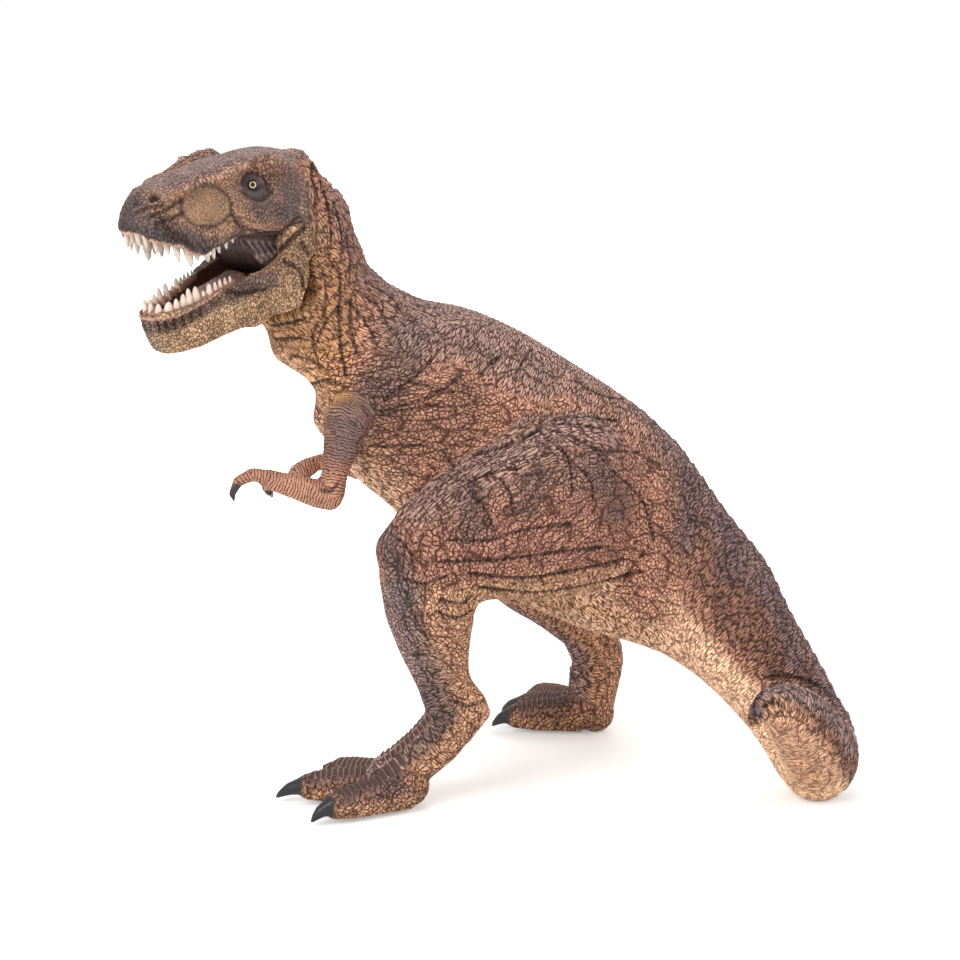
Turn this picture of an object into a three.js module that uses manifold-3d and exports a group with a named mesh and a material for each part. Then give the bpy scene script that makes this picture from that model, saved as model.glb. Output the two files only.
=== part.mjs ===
// A standing tyrannosaur play figure in painted vinyl: a moulded body with plugged-in legs, arms,
// tail and skull, and a lower jaw that swings on a pin.
// Millimetres, +Z up. The figure faces -X, its left side is -Y, and it stands on Z = 0 on two feet
// and the bend of its tail. The origin is under the middle of the figure.

import * as THREE from "three";
import { mergeVertices } from "three/addons/utils/BufferGeometryUtils.js";
import Module from "manifold-3d";

const wasm = await Module();
wasm.setup();

// Body: the places of every table below are shares of these three.
const BODY_LENGTH = 100; // front of the chest to the root of the tail
const HIP_WIDTH = 50; // across the hips
const HIP_HEIGHT = 100; // floor to the top of the hips
const BODY_DEPTH = 50; // back to belly at the chest
const BODY_BREADTH = 50; // across the ribs
const TAIL_DEPTH = 20; // back to underside where the tail rests on the floor
const TAIL_BREADTH = 20;
const TAIL_TIP = 1.5; // rounding at the end of the tail
const NECK_CROWN = 8; // rounded top of the neck, inside the skull

// Limbs
const THIGH_DEPTH = 50;
const THIGH_BREADTH = 30;
const SHIN_DEPTH = 25;
const SHIN_BREADTH = 22;
const ANKLE_DEPTH = 15;
const ANKLE_BREADTH = 16;
const FOOT_HEIGHT = 10; // sole to the top of the toes
const TOE_BREADTH = 10;
const CLAW_THICKNESS = 5;
const HEEL_RADIUS = 5.6;
const SOLE_TRIM = 0.5; // taken off the heel where it stands
const ARM_THICKNESS = 12; // across the shoulder muscle
const FINGER_THICKNESS = 4;
const FOLD_RADIUS = 0.95; // folds of skin, which lie half sunk

// Head, in its own frame: the jaw pin is the origin, -X is forward.
const HEAD_LENGTH = 50;
const HEAD_HEIGHT = 25;
const HEAD_BREADTH = 31;
const JAW_DEPTH = 14;
const JAW_BREADTH = 28;
const LIP = 1.5; // from the outer skin to the mouth
const PALATE_RISE = 5.5; // height of the roof of the mouth over the lips
const MOUTH_FLOOR = 5; // depth of the trough in the lower jaw
const BROW_THICKNESS = 4;
const EYE_RADIUS = 2.4;
const TOOTH_LENGTH = 6.2; // the longest tooth
const TOOTH_THICKNESS = 1.7;
const GUM_BREADTH = 1.9;
const GUM_HEIGHT = 1.8;
const GUM_ROOM = 0.45; // groove to gum, which leaves the teeth clear too
const LINING_WALL = 1;
const WEB_THICKNESS = 1.1; // the stretched skin inside the cheek
const TONGUE_THICKNESS = 3;
const TONGUE_BREADTH = 11;
const SNOUT_FRONT = 2.6; // rounding of the front of the snout
const SKULL_BACK = 11; // rounding of the back of the skull
const JAW_CROWN = 1; // crown of the jaw's edge over its middle
const JAW_ROOM = 0.6; // free space round the back of the open jaw

// Jaw hinge
const PIN_RADIUS = 1.2;
const PIN_CLEARANCE = 0.08;
const EAR_RADIUS = 4.7; // rounded end of the jaw that turns on the pin
const EAR_THICKNESS = 4.4;
const EAR_EDGE = 0.8; // rounding of the outer edge of ear and wing
const EAR_SKIN = 1.2; // vinyl left outside the blind end of the pin's hole
const THROAT_BREADTH = 20.8;
const JAW_GAPE = THREE.MathUtils.degToRad(19); // opening at which the figure is shown
const JAW_OPENING = THREE.MathUtils.degToRad(5); // further opening that the jaw allows
const HEAD_TURN = THREE.MathUtils.degToRad(31);

// Joints between mouldings
const SEAM = 0.3; // gap between neighbouring mouldings
const LEG_PEG = 8; // square pegs that key the legs
const ARM_PEG = 4;
const PEG_LENGTH = 5;
const PLUG_SIZE = 12; // square plugs of the neck and the tail
const PLUG_LENGTH = 6;
const LEG_SEAT = 12; // from the middle of the body to the flat inner face of each thigh
const ARM_SEAT = 12;
const SOCKET_SPARE = 0.3; // what a socket is deeper than its peg, over the seam
const OVERRUN = 300; // size of the blocks that cut whole regions away

// How finely the surfaces are divided.
const BODY_SIDES = 22;
const LIMB_SIDES = 14;
const ARM_SIDES = 10;
const SMALL_SIDES = 8;
const GUM_SIDES = 6;
const TOOTH_SIDES = 4;
const FOLD_SIDES = 4;
const ROUND_RINGS = 2;

// Boxiness of the sections: 2 is round, and more is squarer.
const ROUND = 2;
const TOE_BOXINESS = 2.4;
const JAW_BOXINESS = 2.4;
const SKULL_BOXINESS = 3;
const PALATE_BOXINESS = 3;
const GUM_BOXINESS = 3;
const TROUGH_BOXINESS = 4;

const WELD = 1e-4; // points nearer than this are one

const FORWARD = new THREE.Vector3(-1, 0, 0);
const UP = new THREE.Vector3(0, 0, 1);

// Spine of neck, trunk and tail: along, across, underside, half depth, half breadth.
const BODY_FLARE_SHARE = 0.06; // how much wider than its middle the body is low down
const NECK_SEAM_RING = 3;
const TAIL_SEAM_RING = 12;
const BODY_SHARES = [
  [-0.46, 0.0, 1.29, 0.33, 0.23],
  [-0.43, 0.0, 1.19, 0.33, 0.255],
  [-0.39, 0.0, 1.125, 0.298, 0.265],
  [-0.332, 0.0, 1.04, 0.32, 0.29],
  [-0.26, 0.0, 0.935, 0.38, 0.35],
  [-0.185, 0.0, 0.805, 0.5, 0.42],
  [-0.11, 0.0, 0.71, 0.56, 0.47],
  [-0.02, 0.0, 0.63, 0.59, 0.5],
  [0.08, 0.0, 0.555, 0.6, 0.5],
  [0.18, 0.0, 0.48, 0.61, 0.48],
  [0.28, -0.01, 0.41, 0.61, 0.45],
  [0.38, -0.04, 0.36, 0.57, 0.41],
  [0.46, -0.09, 0.325, 0.51, 0.37],
];
// The tail goes on from the last ring of the trunk, with half depth and half breadth in shares of its own.
const TAIL_SHARES = [
  [0.54, -0.18, 0.31, 1.06, 0.81],
  [0.61, -0.27, 0.285, 0.87, 0.74],
  [0.68, -0.355, 0.235, 0.745, 0.67],
  [0.745, -0.435, 0.17, 0.67, 0.62],
  [0.8, -0.5, 0.1, 0.615, 0.57],
  [0.835, -0.565, 0.04, 0.565, 0.54],
  [0.853, -0.64, -0.006, 0.53, 0.51],
  [0.853, -0.73, -0.006, 0.505, 0.5],
  [0.835, -0.82, 0.04, 0.485, 0.48],
  [0.795, -0.91, 0.112, 0.455, 0.455],
  [0.745, -0.99, 0.188, 0.39, 0.39],
  [0.7, -1.035, 0.238, 0.3, 0.3],
  [0.665, -1.06, 0.262, 0.22, 0.22],
  [0.64, -1.07, 0.258, 0.15, 0.15],
  [0.626, -1.07, 0.242, 0.09, 0.09],
];

// Legs: along, across, up, half depth, half breadth. Across is counted outwards from the middle of the body.
const LEG_PEG_RING = 2;
const LEFT_LEG_SHARES = {
  thigh: [
    [0.36, 0.24, 0.74, 0.34, 0.3],
    [0.27, 0.36, 0.75, 0.46, 0.43],
    [0.15, 0.46, 0.74, 0.475, 0.5],
    [0.035, 0.52, 0.715, 0.395, 0.47],
    [-0.07, 0.56, 0.68, 0.345, 0.42],
    [-0.155, 0.57, 0.645, 0.285, 0.38],
    [-0.215, 0.57, 0.62, 0.19, 0.3],
  ],
  shin: [
    [-0.14, 0.56, 0.68, 0.36, 0.41],
    [-0.147, 0.56, 0.6, 0.49, 0.5],
    [-0.138, 0.55, 0.51, 0.475, 0.48],
    [-0.128, 0.54, 0.415, 0.37, 0.39],
    [-0.106, 0.54, 0.32, 0.27, 0.3],
    [-0.08, 0.54, 0.26, 0.3, 0.29],
    [-0.065, 0.54, 0.21, 0.27, 0.27],
  ],
  ankle: [
    [-0.055, 0.54, 0.26, 0.37, 0.34],
    [-0.082, 0.54, 0.205, 0.49, 0.39],
    [-0.15, 0.54, 0.142, 0.42, 0.39],
    [-0.21, 0.54, 0.092, 0.41, 0.48],
    [-0.265, 0.535, 0.066, 0.36, 0.54],
  ],
  heel: [-0.197, 0.54],
  // Toes start at the ball of the foot and end at the claw's root: along, across.
  toes: {
    outer: { from: [-0.2, 0.6], to: [-0.395, 0.755], clawShare: 1.3 },
    middle: { from: [-0.22, 0.53], to: [-0.45, 0.44], clawShare: 1.7 },
    inner: { from: [-0.21, 0.49], to: [-0.385, 0.22], clawShare: 1.4 },
  },
};
const RIGHT_LEG_SHARES = {
  thigh: [
    [0.36, 0.24, 0.74, 0.34, 0.3],
    [0.29, 0.34, 0.735, 0.45, 0.43],
    [0.2, 0.42, 0.7, 0.46, 0.48],
    [0.11, 0.49, 0.645, 0.38, 0.47],
    [0.045, 0.53, 0.595, 0.29, 0.42],
    [0.005, 0.55, 0.56, 0.2, 0.33],
  ],
  shin: [
    [0.05, 0.54, 0.59, 0.34, 0.41],
    [0.12, 0.54, 0.535, 0.47, 0.49],
    [0.215, 0.54, 0.45, 0.46, 0.47],
    [0.3, 0.54, 0.37, 0.37, 0.39],
    [0.36, 0.54, 0.295, 0.29, 0.31],
    [0.395, 0.54, 0.225, 0.3, 0.29],
    [0.405, 0.54, 0.18, 0.27, 0.27],
  ],
  ankle: [
    [0.4, 0.54, 0.24, 0.43, 0.35],
    [0.393, 0.54, 0.18, 0.49, 0.39],
    [0.385, 0.545, 0.12, 0.45, 0.41],
    [0.375, 0.552, 0.065, 0.44, 0.5],
  ],
  heel: [0.39, 0.54],
  toes: {
    inner: { from: [0.35, 0.53], to: [0.165, 0.602], clawShare: 1.3 },
    middle: { from: [0.35, 0.57], to: [0.215, 0.8], clawShare: 1.7 },
    outer: { from: [0.36, 0.61], to: [0.268, 0.98], clawShare: 1.4 },
  },
};
// Toe sections from the ball of the foot to the claw: half height, half breadth, height of the middle.
const TOE_SECTION_SHARES = [
  [0.53, 0.5, 0.5],
  [0.5, 0.46, 0.485],
  [0.46, 0.43, 0.45],
  [0.36, 0.34, 0.42],
];
// Along the claw from the toe to its tip, height over the floor, half thickness.
const CLAW_SECTION_SHARES = [
  [-0.3, 0.44, 0.5],
  [0.15, 0.45, 0.5],
  [0.6, 0.33, 0.34],
  [0.88, 0.18, 0.18],
  [1, 0.08, 0.06],
];

// Arms: along, across, up, half depth, half breadth.
const LEFT_ARM_SHARES = {
  upper: [
    [-0.3, 0.26, 1.01, 0.48, 0.4],
    [-0.338, 0.37, 0.985, 0.52, 0.48],
    [-0.35, 0.415, 0.925, 0.4, 0.4],
    [-0.37, 0.43, 0.86, 0.28, 0.31],
    [-0.38, 0.44, 0.805, 0.29, 0.31],
  ],
  fore: [
    [-0.38, 0.44, 0.798, 0.32, 0.31],
    [-0.415, 0.446, 0.806, 0.31, 0.29],
    [-0.48, 0.452, 0.828, 0.25, 0.25],
    [-0.54, 0.456, 0.848, 0.21, 0.23],
  ],
  fingers: [
    [
      [-0.53, 0.46, 0.85],
      [-0.575, 0.476, 0.862],
      [-0.612, 0.486, 0.846],
      [-0.627, 0.492, 0.814],
      [-0.621, 0.492, 0.793],
    ],
    [
      [-0.525, 0.43, 0.842],
      [-0.538, 0.404, 0.835],
      [-0.538, 0.392, 0.818],
      [-0.53, 0.39, 0.802],
      [-0.522, 0.39, 0.79],
    ],
  ],
};
const RIGHT_ARM_SHARES = {
  upper: [
    [-0.3, 0.26, 1.01, 0.48, 0.4],
    [-0.315, 0.37, 0.98, 0.54, 0.48],
    [-0.3, 0.415, 0.915, 0.42, 0.4],
    [-0.28, 0.43, 0.85, 0.35, 0.34],
    [-0.268, 0.44, 0.8, 0.36, 0.34],
  ],
  fore: [
    [-0.27, 0.44, 0.785, 0.29, 0.29],
    [-0.32, 0.436, 0.798, 0.25, 0.25],
    [-0.37, 0.42, 0.803, 0.19, 0.21],
    [-0.415, 0.4, 0.795, 0.17, 0.2],
  ],
  fingers: [
    [
      [-0.41, 0.41, 0.797],
      [-0.442, 0.414, 0.782],
      [-0.462, 0.416, 0.755],
      [-0.468, 0.416, 0.725],
      [-0.46, 0.416, 0.7],
    ],
    [
      [-0.4, 0.38, 0.792],
      [-0.42, 0.356, 0.778],
      [-0.43, 0.348, 0.757],
      [-0.428, 0.346, 0.738],
      [-0.42, 0.346, 0.725],
    ],
  ],
};
// Half thickness along a finger, from the palm to the tip of the claw.
const FINGER_SECTION_SHARES = [0.5, 0.46, 0.38, 0.24, 0.08];

// Folds of skin, by their points: rings counted from the start of the sweep, then the turn from the side
// of the body towards its back as a share of a quarter turn.
const FOLD_END_SHARE = 0.25;
const TRUNK_FOLD_SHARES = [
  [[3.2, 0.1], [4, 0], [4.8, -0.2]],
  [[3.3, -0.32], [3.8, -0.38], [4.3, -0.5]],
  [[5.3, 0.3], [6.2, 0.48], [7, 0.56]],
  [[5.6, -0.1], [6.2, 0.02], [7, 0.08]],
];
const THIGH_FOLD_SHARES = [
  [[1.1, 0.6], [1.4, 0.3], [1.5, -0.05]],
  [[2, 0.5], [2.25, 0.2], [2.3, -0.05]],
  [[3.5, 0.5], [3.7, 0.25], [3.7, 0]],
  [[3.6, -0.45], [2.5, -0.44], [1.5, -0.54]],
];

// Skull: along, up, rise over the middle, fall below it, half breadth.
const HINGE_SHARE = [-0.122, -0.056, 1.423]; // the jaw pin: ahead of the top of the neck, across, up
const THROAT_SHARE = 0.368; // radius of the rounded back wall of the mouth, to the head's height
const SKULL_FLARE_SHARE = 0.1;
const SKULL_SHARES = [
  [0.13, 0.34, 0.56, 0.36, 0.38],
  [0.03, 0.3, 0.63, 0.24, 0.475],
  [-0.1, 0.28, 0.62, 0.22, 0.49],
  [-0.2, 0.26, 0.61, 0.2, 0.475],
  [-0.31, 0.21, 0.61, 0.17, 0.43],
  [-0.43, 0.15, 0.6, 0.17, 0.395],
  [-0.55, 0.13, 0.57, 0.15, 0.36],
  [-0.65, 0.17, 0.5, 0.13, 0.315],
  [-0.72, 0.21, 0.37, 0.12, 0.25],
  [-0.765, 0.23, 0.24, 0.1, 0.185],
];
// Ridge from beside the nose, over the eye, to behind it: along, across, up, half thickness.
const BROW_SHARES = [
  [-0.6, 0.25, 0.52, 0.3],
  [-0.46, 0.32, 0.58, 0.4],
  [-0.32, 0.38, 0.68, 0.46],
  [-0.21, 0.425, 0.76, 0.55],
  [-0.14, 0.44, 0.78, 0.52],
  [-0.07, 0.44, 0.7, 0.4],
];
const EYE_SHARE = [-0.225, 0.425, 0.59];
// Lower jaw, from the ears to the chin, in the frame of the closed jaw: along, up, fall, half breadth.
const JAW_SHARES = [
  [-0.02, -0.15, 0.7, 0.47],
  [-0.1, -0.2, 0.93, 0.5],
  [-0.22, -0.24, 0.97, 0.46],
  [-0.35, -0.26, 0.92, 0.415],
  [-0.48, -0.3, 0.85, 0.365],
  [-0.6, -0.34, 0.86, 0.31],
  [-0.69, -0.33, 0.79, 0.25],
  [-0.75, -0.3, 0.62, 0.185],
];
// Outline of the wing of the jaw behind the teeth: along in shares of the head, up in shares of the jaw.
const WING_SHARES = [
  [-0.3, -0.3],
  [-0.2, -0.95],
  [-0.09, -1.06],
  [0.01, -0.52],
];
// Lengths of the teeth of one side, from the snout back, as shares of the longest.
const UPPER_TOOTH_SHARES = [0.5, 0.62, 0.74, 0.9, 1, 0.84, 0.94, 0.96, 0.7, 0.6, 0.5, 0.4, 0.3];
const LOWER_TOOTH_SHARES = [0.58, 0.56, 0.5, 0.64, 0.78, 0.74, 0.46, 0.42, 0.36, 0.3, 0.25];
const TOOTH_SECTION_SHARES = [
  [-0.1, 0, 0.5],
  [0.5, 0.04, 0.4],
  [1, 0.2, 0.07],
];
const SLENDER_SHARE = 0.55; // thickness of a tooth of no length, to that of the longest
const TEETH_START_SHARE = 0.3; // how far in front of the pin the last tooth is
const PALATE_FIRST_RING = 2;
const JAW_ROOM_RINGS = 4; // rings of the jaw whose underside swings towards the throat
// Tongue: along, up, half thickness, half breadth.
const TONGUE_SHARES = [
  [-0.24, -0.36, 0.45, 0.44],
  [-0.38, -0.4, 0.45, 0.42],
  [-0.52, -0.44, 0.42, 0.36],
  [-0.64, -0.46, 0.34, 0.26],
];
// Side outline of the skin inside the cheek: along, up.
const WEB_SHARES = [
  [-0.0736, 0.1546],
  [-0.2944, 0.1178],
  [-0.23, -0.0589],
  [-0.1877, -0.1656],
  [-0.1509, -0.2429],
  [-0.0736, -0.2208],
];

// Turns rows of shares into rings in millimetres.
function rings(rows, { along, across, up, depth, breadth, side = 1, grow = 0 }) {
  return rows.map(([x, y, z, halfDepth, halfBreadth]) => ({
    centre: new THREE.Vector3(x * along, side * y * across, z * up),
    rise: halfDepth * depth + grow,
    fall: halfDepth * depth + grow,
    breadth: halfBreadth * breadth + grow,
  }));
}

// Squares each ring to the path through all of them. top is the way the first ring's top leans.
function framesOf(list, top = UP) {
  const centres = list.map((ring) => ring.centre);
  const path = new THREE.CatmullRomCurve3(centres, false, "centripetal");
  let crown = top.clone();
  return list.map((ring, k) => {
    const tangent = path.getTangent(k / (list.length - 1)).normalize();
    crown = crown.clone().addScaledVector(tangent, -crown.dot(tangent)).normalize();
    return { ...ring, tangent, crown, side: crown.clone().cross(tangent) };
  });
}

// Sweeps a closed skin through rings. flare makes each section wider low down, and the rounded ends
// stand out by the given lengths.
function loft(list, { sides, top, flare = 0, square = ROUND, start = 0, end = 0 }) {
  const frames = framesOf(list, top);
  const first = frames[0];
  const last = frames[frames.length - 1];
  const capped = [...domeOf(first, -start).reverse(), ...frames, ...domeOf(last, end)];

  const points = capped.flatMap((frame) => ringPoints(frame, { sides, flare, square }));
  points.push(first.centre.clone().addScaledVector(first.tangent, -start));
  points.push(last.centre.clone().addScaledVector(last.tangent, end));
  const faces = [];
  for (let k = 0; k < capped.length - 1; k++) {
    for (let j = 0; j < sides; j++) {
      const a = k * sides + j;
      const b = k * sides + ((j + 1) % sides);
      faces.push(a, b, b + sides, a, b + sides, a + sides);
    }
  }
  const lastRing = (capped.length - 1) * sides;
  for (let j = 0; j < sides; j++) {
    const next = (j + 1) % sides;
    faces.push(points.length - 2, next, j);
    faces.push(points.length - 1, lastRing + j, lastRing + next);
  }
  return new THREE.BufferGeometry().setFromPoints(points).setIndex(faces);
}

// The smaller rings that round off an end by the signed length given.
function domeOf(frame, length) {
  const dome = [];
  for (let k = 1; k <= ROUND_RINGS && length !== 0; k++) {
    const angle = (k / (ROUND_RINGS + 1)) * (Math.PI / 2);
    dome.push({
      ...frame,
      centre: frame.centre.clone().addScaledVector(frame.tangent, length * Math.sin(angle)),
      rise: frame.rise * Math.cos(angle),
      fall: frame.fall * Math.cos(angle),
      breadth: frame.breadth * Math.cos(angle),
    });
  }
  return dome;
}

function ringPoints(frame, { sides, flare, square }) {
  return Array.from({ length: sides }, (_, j) =>
    skinPoint(frame, (j / sides) * Math.PI * 2, { flare, square }),
  );
}

function skinPoint(frame, angle, { flare, square }) {
  const bend = (value) => Math.sign(value) * Math.abs(value) ** (2 / square);
  const across = bend(Math.cos(angle));
  const up = bend(Math.sin(angle));
  return frame.centre
    .clone()
    .addScaledVector(frame.side, across * frame.breadth * (1 - flare * up))
    .addScaledVector(frame.crown, up * (up > 0 ? frame.rise : frame.fall));
}

// Folds of skin half sunk in a swept skin, on its side or, mirrored, on the opposite one.
function skinFolds(frames, paths, { flare = 0, mirrored = false, grow = 0 }) {
  return paths.map((path) => {
    const list = path.map(([place, turn], k) => {
      const first = Math.min(Math.floor(place), frames.length - 2);
      const angle = ((mirrored ? 2 - turn : turn) * Math.PI) / 2;
      const [near, next] = frames
        .slice(first, first + 2)
        .map((frame) => skinPoint(frame, angle, { flare, square: ROUND }));
      const isEnd = k === 0 || k === path.length - 1;
      const half = (isEnd ? FOLD_END_SHARE : 1) * FOLD_RADIUS + grow;
      return { centre: near.lerp(next, place - first), rise: half, fall: half, breadth: half };
    });
    return solid(loft(list, { sides: FOLD_SIDES, top: new THREE.Vector3(0, 1, 0) }));
  });
}

// A geometry as a solid that can be joined and cut, moved by the matrix if one is given.
function solid(geometry, matrix = new THREE.Matrix4()) {
  const plain = geometry.clone().applyMatrix4(matrix);
  plain.deleteAttribute("normal");
  plain.deleteAttribute("uv");
  const merged = mergeVertices(plain, WELD);
  return new wasm.Manifold(
    new wasm.Mesh({
      numProp: 3,
      vertProperties: new Float32Array(merged.getAttribute("position").array),
      triVerts: new Uint32Array(merged.index.array),
    }),
  );
}

function join(solids) {
  return solids.reduce((whole, piece) => whole.add(piece));
}

function cut(whole, solids) {
  return solids.reduce((rest, piece) => rest.subtract(piece), whole);
}

function mesh(name, shape, material) {
  const { numProp, vertProperties, triVerts } = shape.getMesh();
  const geometry = new THREE.BufferGeometry()
    .setAttribute("position", new THREE.BufferAttribute(vertProperties, numProp))
    .setIndex(new THREE.BufferAttribute(triVerts, 1));
  geometry.computeVertexNormals();
  const made = new THREE.Mesh(geometry, material);
  made.name = name;
  return made;
}

// A round bar along Y.
function bar(radius, length, y = 0) {
  return new THREE.CylinderGeometry(radius, radius, length, LIMB_SIDES).translate(0, y, 0);
}

// A plate of the given outline in X and Z, between two places across the figure.
function plate(outline, from, to, edge = 0) {
  const shape = new THREE.Shape(outline);
  const flat = new THREE.ExtrudeGeometry(shape, {
    depth: to - from - 2 * edge,
    bevelEnabled: edge > 0,
    bevelThickness: edge,
    bevelSize: edge,
    bevelOffset: -edge,
    bevelSegments: 1,
    curveSegments: LIMB_SIDES,
  });
  return flat.rotateX(Math.PI / 2).translate(0, to - edge, 0);
}

// The block that holds everything on the far side of a plane.
function beyond(point, normal) {
  const turn = new THREE.Quaternion().setFromUnitVectors(UP, normal.clone().normalize());
  const block = new THREE.BoxGeometry(OVERRUN, OVERRUN, OVERRUN).translate(0, 0, OVERRUN / 2);
  return solid(block, new THREE.Matrix4().compose(point, turn, new THREE.Vector3(1, 1, 1)));
}

// A square peg that starts inside its own piece and stands out along a direction.
function peg(size, root, direction, reach) {
  const turn = new THREE.Quaternion().setFromUnitVectors(UP, direction.clone().normalize());
  const block = new THREE.BoxGeometry(size, size, 2 * reach);
  return solid(block, new THREE.Matrix4().compose(root, turn, new THREE.Vector3(1, 1, 1)));
}

// The peg's socket, with the seam all round and some depth to spare.
function socket(size, root, direction, reach) {
  return peg(size + 2 * SEAM, root, direction, reach + SEAM + SOCKET_SPARE);
}

// Materials
const vinyl = (color, roughness = 0.62) =>
  new THREE.MeshStandardMaterial({ color, roughness, metalness: 0 });
const hide = vinyl(0x7a5b45);
const headHide = vinyl(0x6f5548);
const jawHide = vinyl(0x8f734c);
const mouthSkin = vinyl(0x3a2526, 0.5);
const ivory = vinyl(0xe8d9c4, 0.4);
const tongueSkin = vinyl(0x8a5a50, 0.45);
const steel = new THREE.MeshStandardMaterial({ color: 0xb8bcc0, roughness: 0.3, metalness: 1 });

// Everything that stands on the floor is trimmed flat at Z = 0.
const floor = beyond(new THREE.Vector3(), UP.clone().negate());

// Neck, trunk and tail are one swept form, parted at two seams.
function bodyRings() {
  const scale = { along: BODY_LENGTH, across: HIP_WIDTH, up: HIP_HEIGHT };
  const trunk = rings(BODY_SHARES, { ...scale, depth: BODY_DEPTH, breadth: BODY_BREADTH });
  const tail = rings(TAIL_SHARES, { ...scale, depth: TAIL_DEPTH, breadth: TAIL_BREADTH });
  const all = [...trunk, ...tail];
  all.forEach((ring) => ring.centre.setZ(ring.centre.z + ring.rise));
  return all;
}
const spine = bodyRings();
const dorsal = new THREE.Vector3(1, 0, 0);
const body = solid(
  loft(spine, {
    sides: BODY_SIDES,
    top: dorsal,
    flare: BODY_FLARE_SHARE,
    start: NECK_CROWN,
    end: TAIL_TIP,
  }),
);

// A seam across the spine at one of its rings: its place, its direction and its keyed plug.
function seamAt(index) {
  const direction = spine[index + 1].centre.clone().sub(spine[index - 1].centre).normalize();
  return { point: spine[index].centre, direction };
}
const neckSeam = seamAt(NECK_SEAM_RING);
const tailSeam = seamAt(TAIL_SEAM_RING);

const LEFT = -1;
const RIGHT = 1;

// Legs
function ringScale(side, depth, breadth, grow) {
  return { along: BODY_LENGTH, across: HIP_WIDTH, up: HIP_HEIGHT, depth, breadth, side, grow };
}

function toe({ from, to, clawShare }, side) {
  const place = ([x, y]) => new THREE.Vector3(x * BODY_LENGTH, side * y * HIP_WIDTH, 0);
  const ball = place(from);
  const nailRoot = place(to);
  const ahead = nailRoot.clone().sub(ball).normalize();
  const pads = TOE_SECTION_SHARES.map(([halfHeight, halfBreadth, middle], k, all) => ({
    centre: ball
      .clone()
      .lerp(nailRoot, k / (all.length - 1))
      .setZ(middle * FOOT_HEIGHT),
    rise: halfHeight * FOOT_HEIGHT,
    fall: halfHeight * FOOT_HEIGHT,
    breadth: halfBreadth * TOE_BREADTH,
  }));
  const nail = CLAW_SECTION_SHARES.map(([reach, height, halfThickness]) => ({
    centre: nailRoot
      .clone()
      .addScaledVector(ahead, reach * clawShare * CLAW_THICKNESS)
      .setZ(height * FOOT_HEIGHT),
    rise: halfThickness * CLAW_THICKNESS,
    fall: halfThickness * CLAW_THICKNESS,
    breadth: halfThickness * CLAW_THICKNESS,
  }));
  return join([
    solid(loft(pads, { sides: SMALL_SIDES, square: TOE_BOXINESS, end: CLAW_THICKNESS / 2 })),
    solid(loft(nail, { sides: SMALL_SIDES })),
  ]);
}

// A whole leg without its peg. grow thickens it, to cut its recess in the trunk.
function legForm(shares, side, grow = 0) {
  const form = (rows, depth, breadth, options) =>
    solid(loft(rings(rows, ringScale(side, depth, breadth, grow)), { sides: LIMB_SIDES, ...options }));
  const muscle = form(shares.thigh, THIGH_DEPTH, THIGH_BREADTH, {
    start: THIGH_BREADTH / 3,
    end: THIGH_BREADTH / 8,
  });
  const frames = framesOf(rings(shares.thigh, ringScale(side, THIGH_DEPTH, THIGH_BREADTH, grow)));
  const thigh = join([
    muscle,
    ...skinFolds(frames, THIGH_FOLD_SHARES, { mirrored: side === RIGHT, grow }),
  ]);
  if (grow > 0) return thigh;
  const shin = form(shares.shin, SHIN_DEPTH, SHIN_BREADTH, { top: FORWARD, start: SHIN_DEPTH / 5 });
  const ankle = form(shares.ankle, ANKLE_DEPTH, ANKLE_BREADTH, {
    top: FORWARD,
    start: ANKLE_DEPTH / 5,
    end: ANKLE_DEPTH / 5,
  });
  const [heelX, heelY] = shares.heel;
  const heel = solid(
    new THREE.SphereGeometry(HEEL_RADIUS, LIMB_SIDES, SMALL_SIDES).translate(
      heelX * BODY_LENGTH,
      side * heelY * HIP_WIDTH,
      HEEL_RADIUS - SOLE_TRIM,
    ),
  );
  const toes = Object.values(shares.toes).map((each) => toe(each, side));
  return join([thigh, shin, ankle, heel, ...toes]);
}

// Where a leg's peg is rooted, on the flat inner face of the thigh.
function legPegRoot(shares, side) {
  const [x, , z] = shares.thigh[LEG_PEG_RING];
  return new THREE.Vector3(x * BODY_LENGTH, side * LEG_SEAT, z * HIP_HEIGHT);
}

function buildLeg(shares, side) {
  const inward = new THREE.Vector3(0, -side, 0);
  const root = legPegRoot(shares, side);
  const flatFaced = legForm(shares, side).subtract(beyond(root, inward));
  return flatFaced.add(peg(LEG_PEG, root, inward, PEG_LENGTH)).subtract(floor);
}

function legRecess(shares, side) {
  const inward = new THREE.Vector3(0, -side, 0);
  const root = legPegRoot(shares, side);
  const clear = root.clone().addScaledVector(inward, SEAM);
  return legForm(shares, side, SEAM)
    .subtract(beyond(clear, inward))
    .add(socket(LEG_PEG, root, inward, PEG_LENGTH));
}

// Arms
function finger(rows, side) {
  const list = rows.map(([x, y, z], k) => {
    const half = FINGER_SECTION_SHARES[k] * FINGER_THICKNESS;
    return {
      centre: new THREE.Vector3(x * BODY_LENGTH, side * y * HIP_WIDTH, z * HIP_HEIGHT),
      rise: half,
      fall: half,
      breadth: half,
    };
  });
  return solid(loft(list, { sides: SMALL_SIDES, start: FINGER_THICKNESS / 2 }));
}

function armForm(shares, side, grow = 0) {
  const form = (rows, options) =>
    solid(loft(rings(rows, ringScale(side, ARM_THICKNESS, ARM_THICKNESS, grow)), options));
  const upper = form(shares.upper, {
    sides: ARM_SIDES,
    top: FORWARD,
    start: ARM_THICKNESS / 4,
    end: ARM_THICKNESS / 4,
  });
  if (grow > 0) return upper;
  const fore = form(shares.fore, {
    sides: ARM_SIDES,
    start: ARM_THICKNESS / 4,
    end: ARM_THICKNESS / 6,
  });
  return join([upper, fore, ...shares.fingers.map((rows) => finger(rows, side))]);
}

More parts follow.
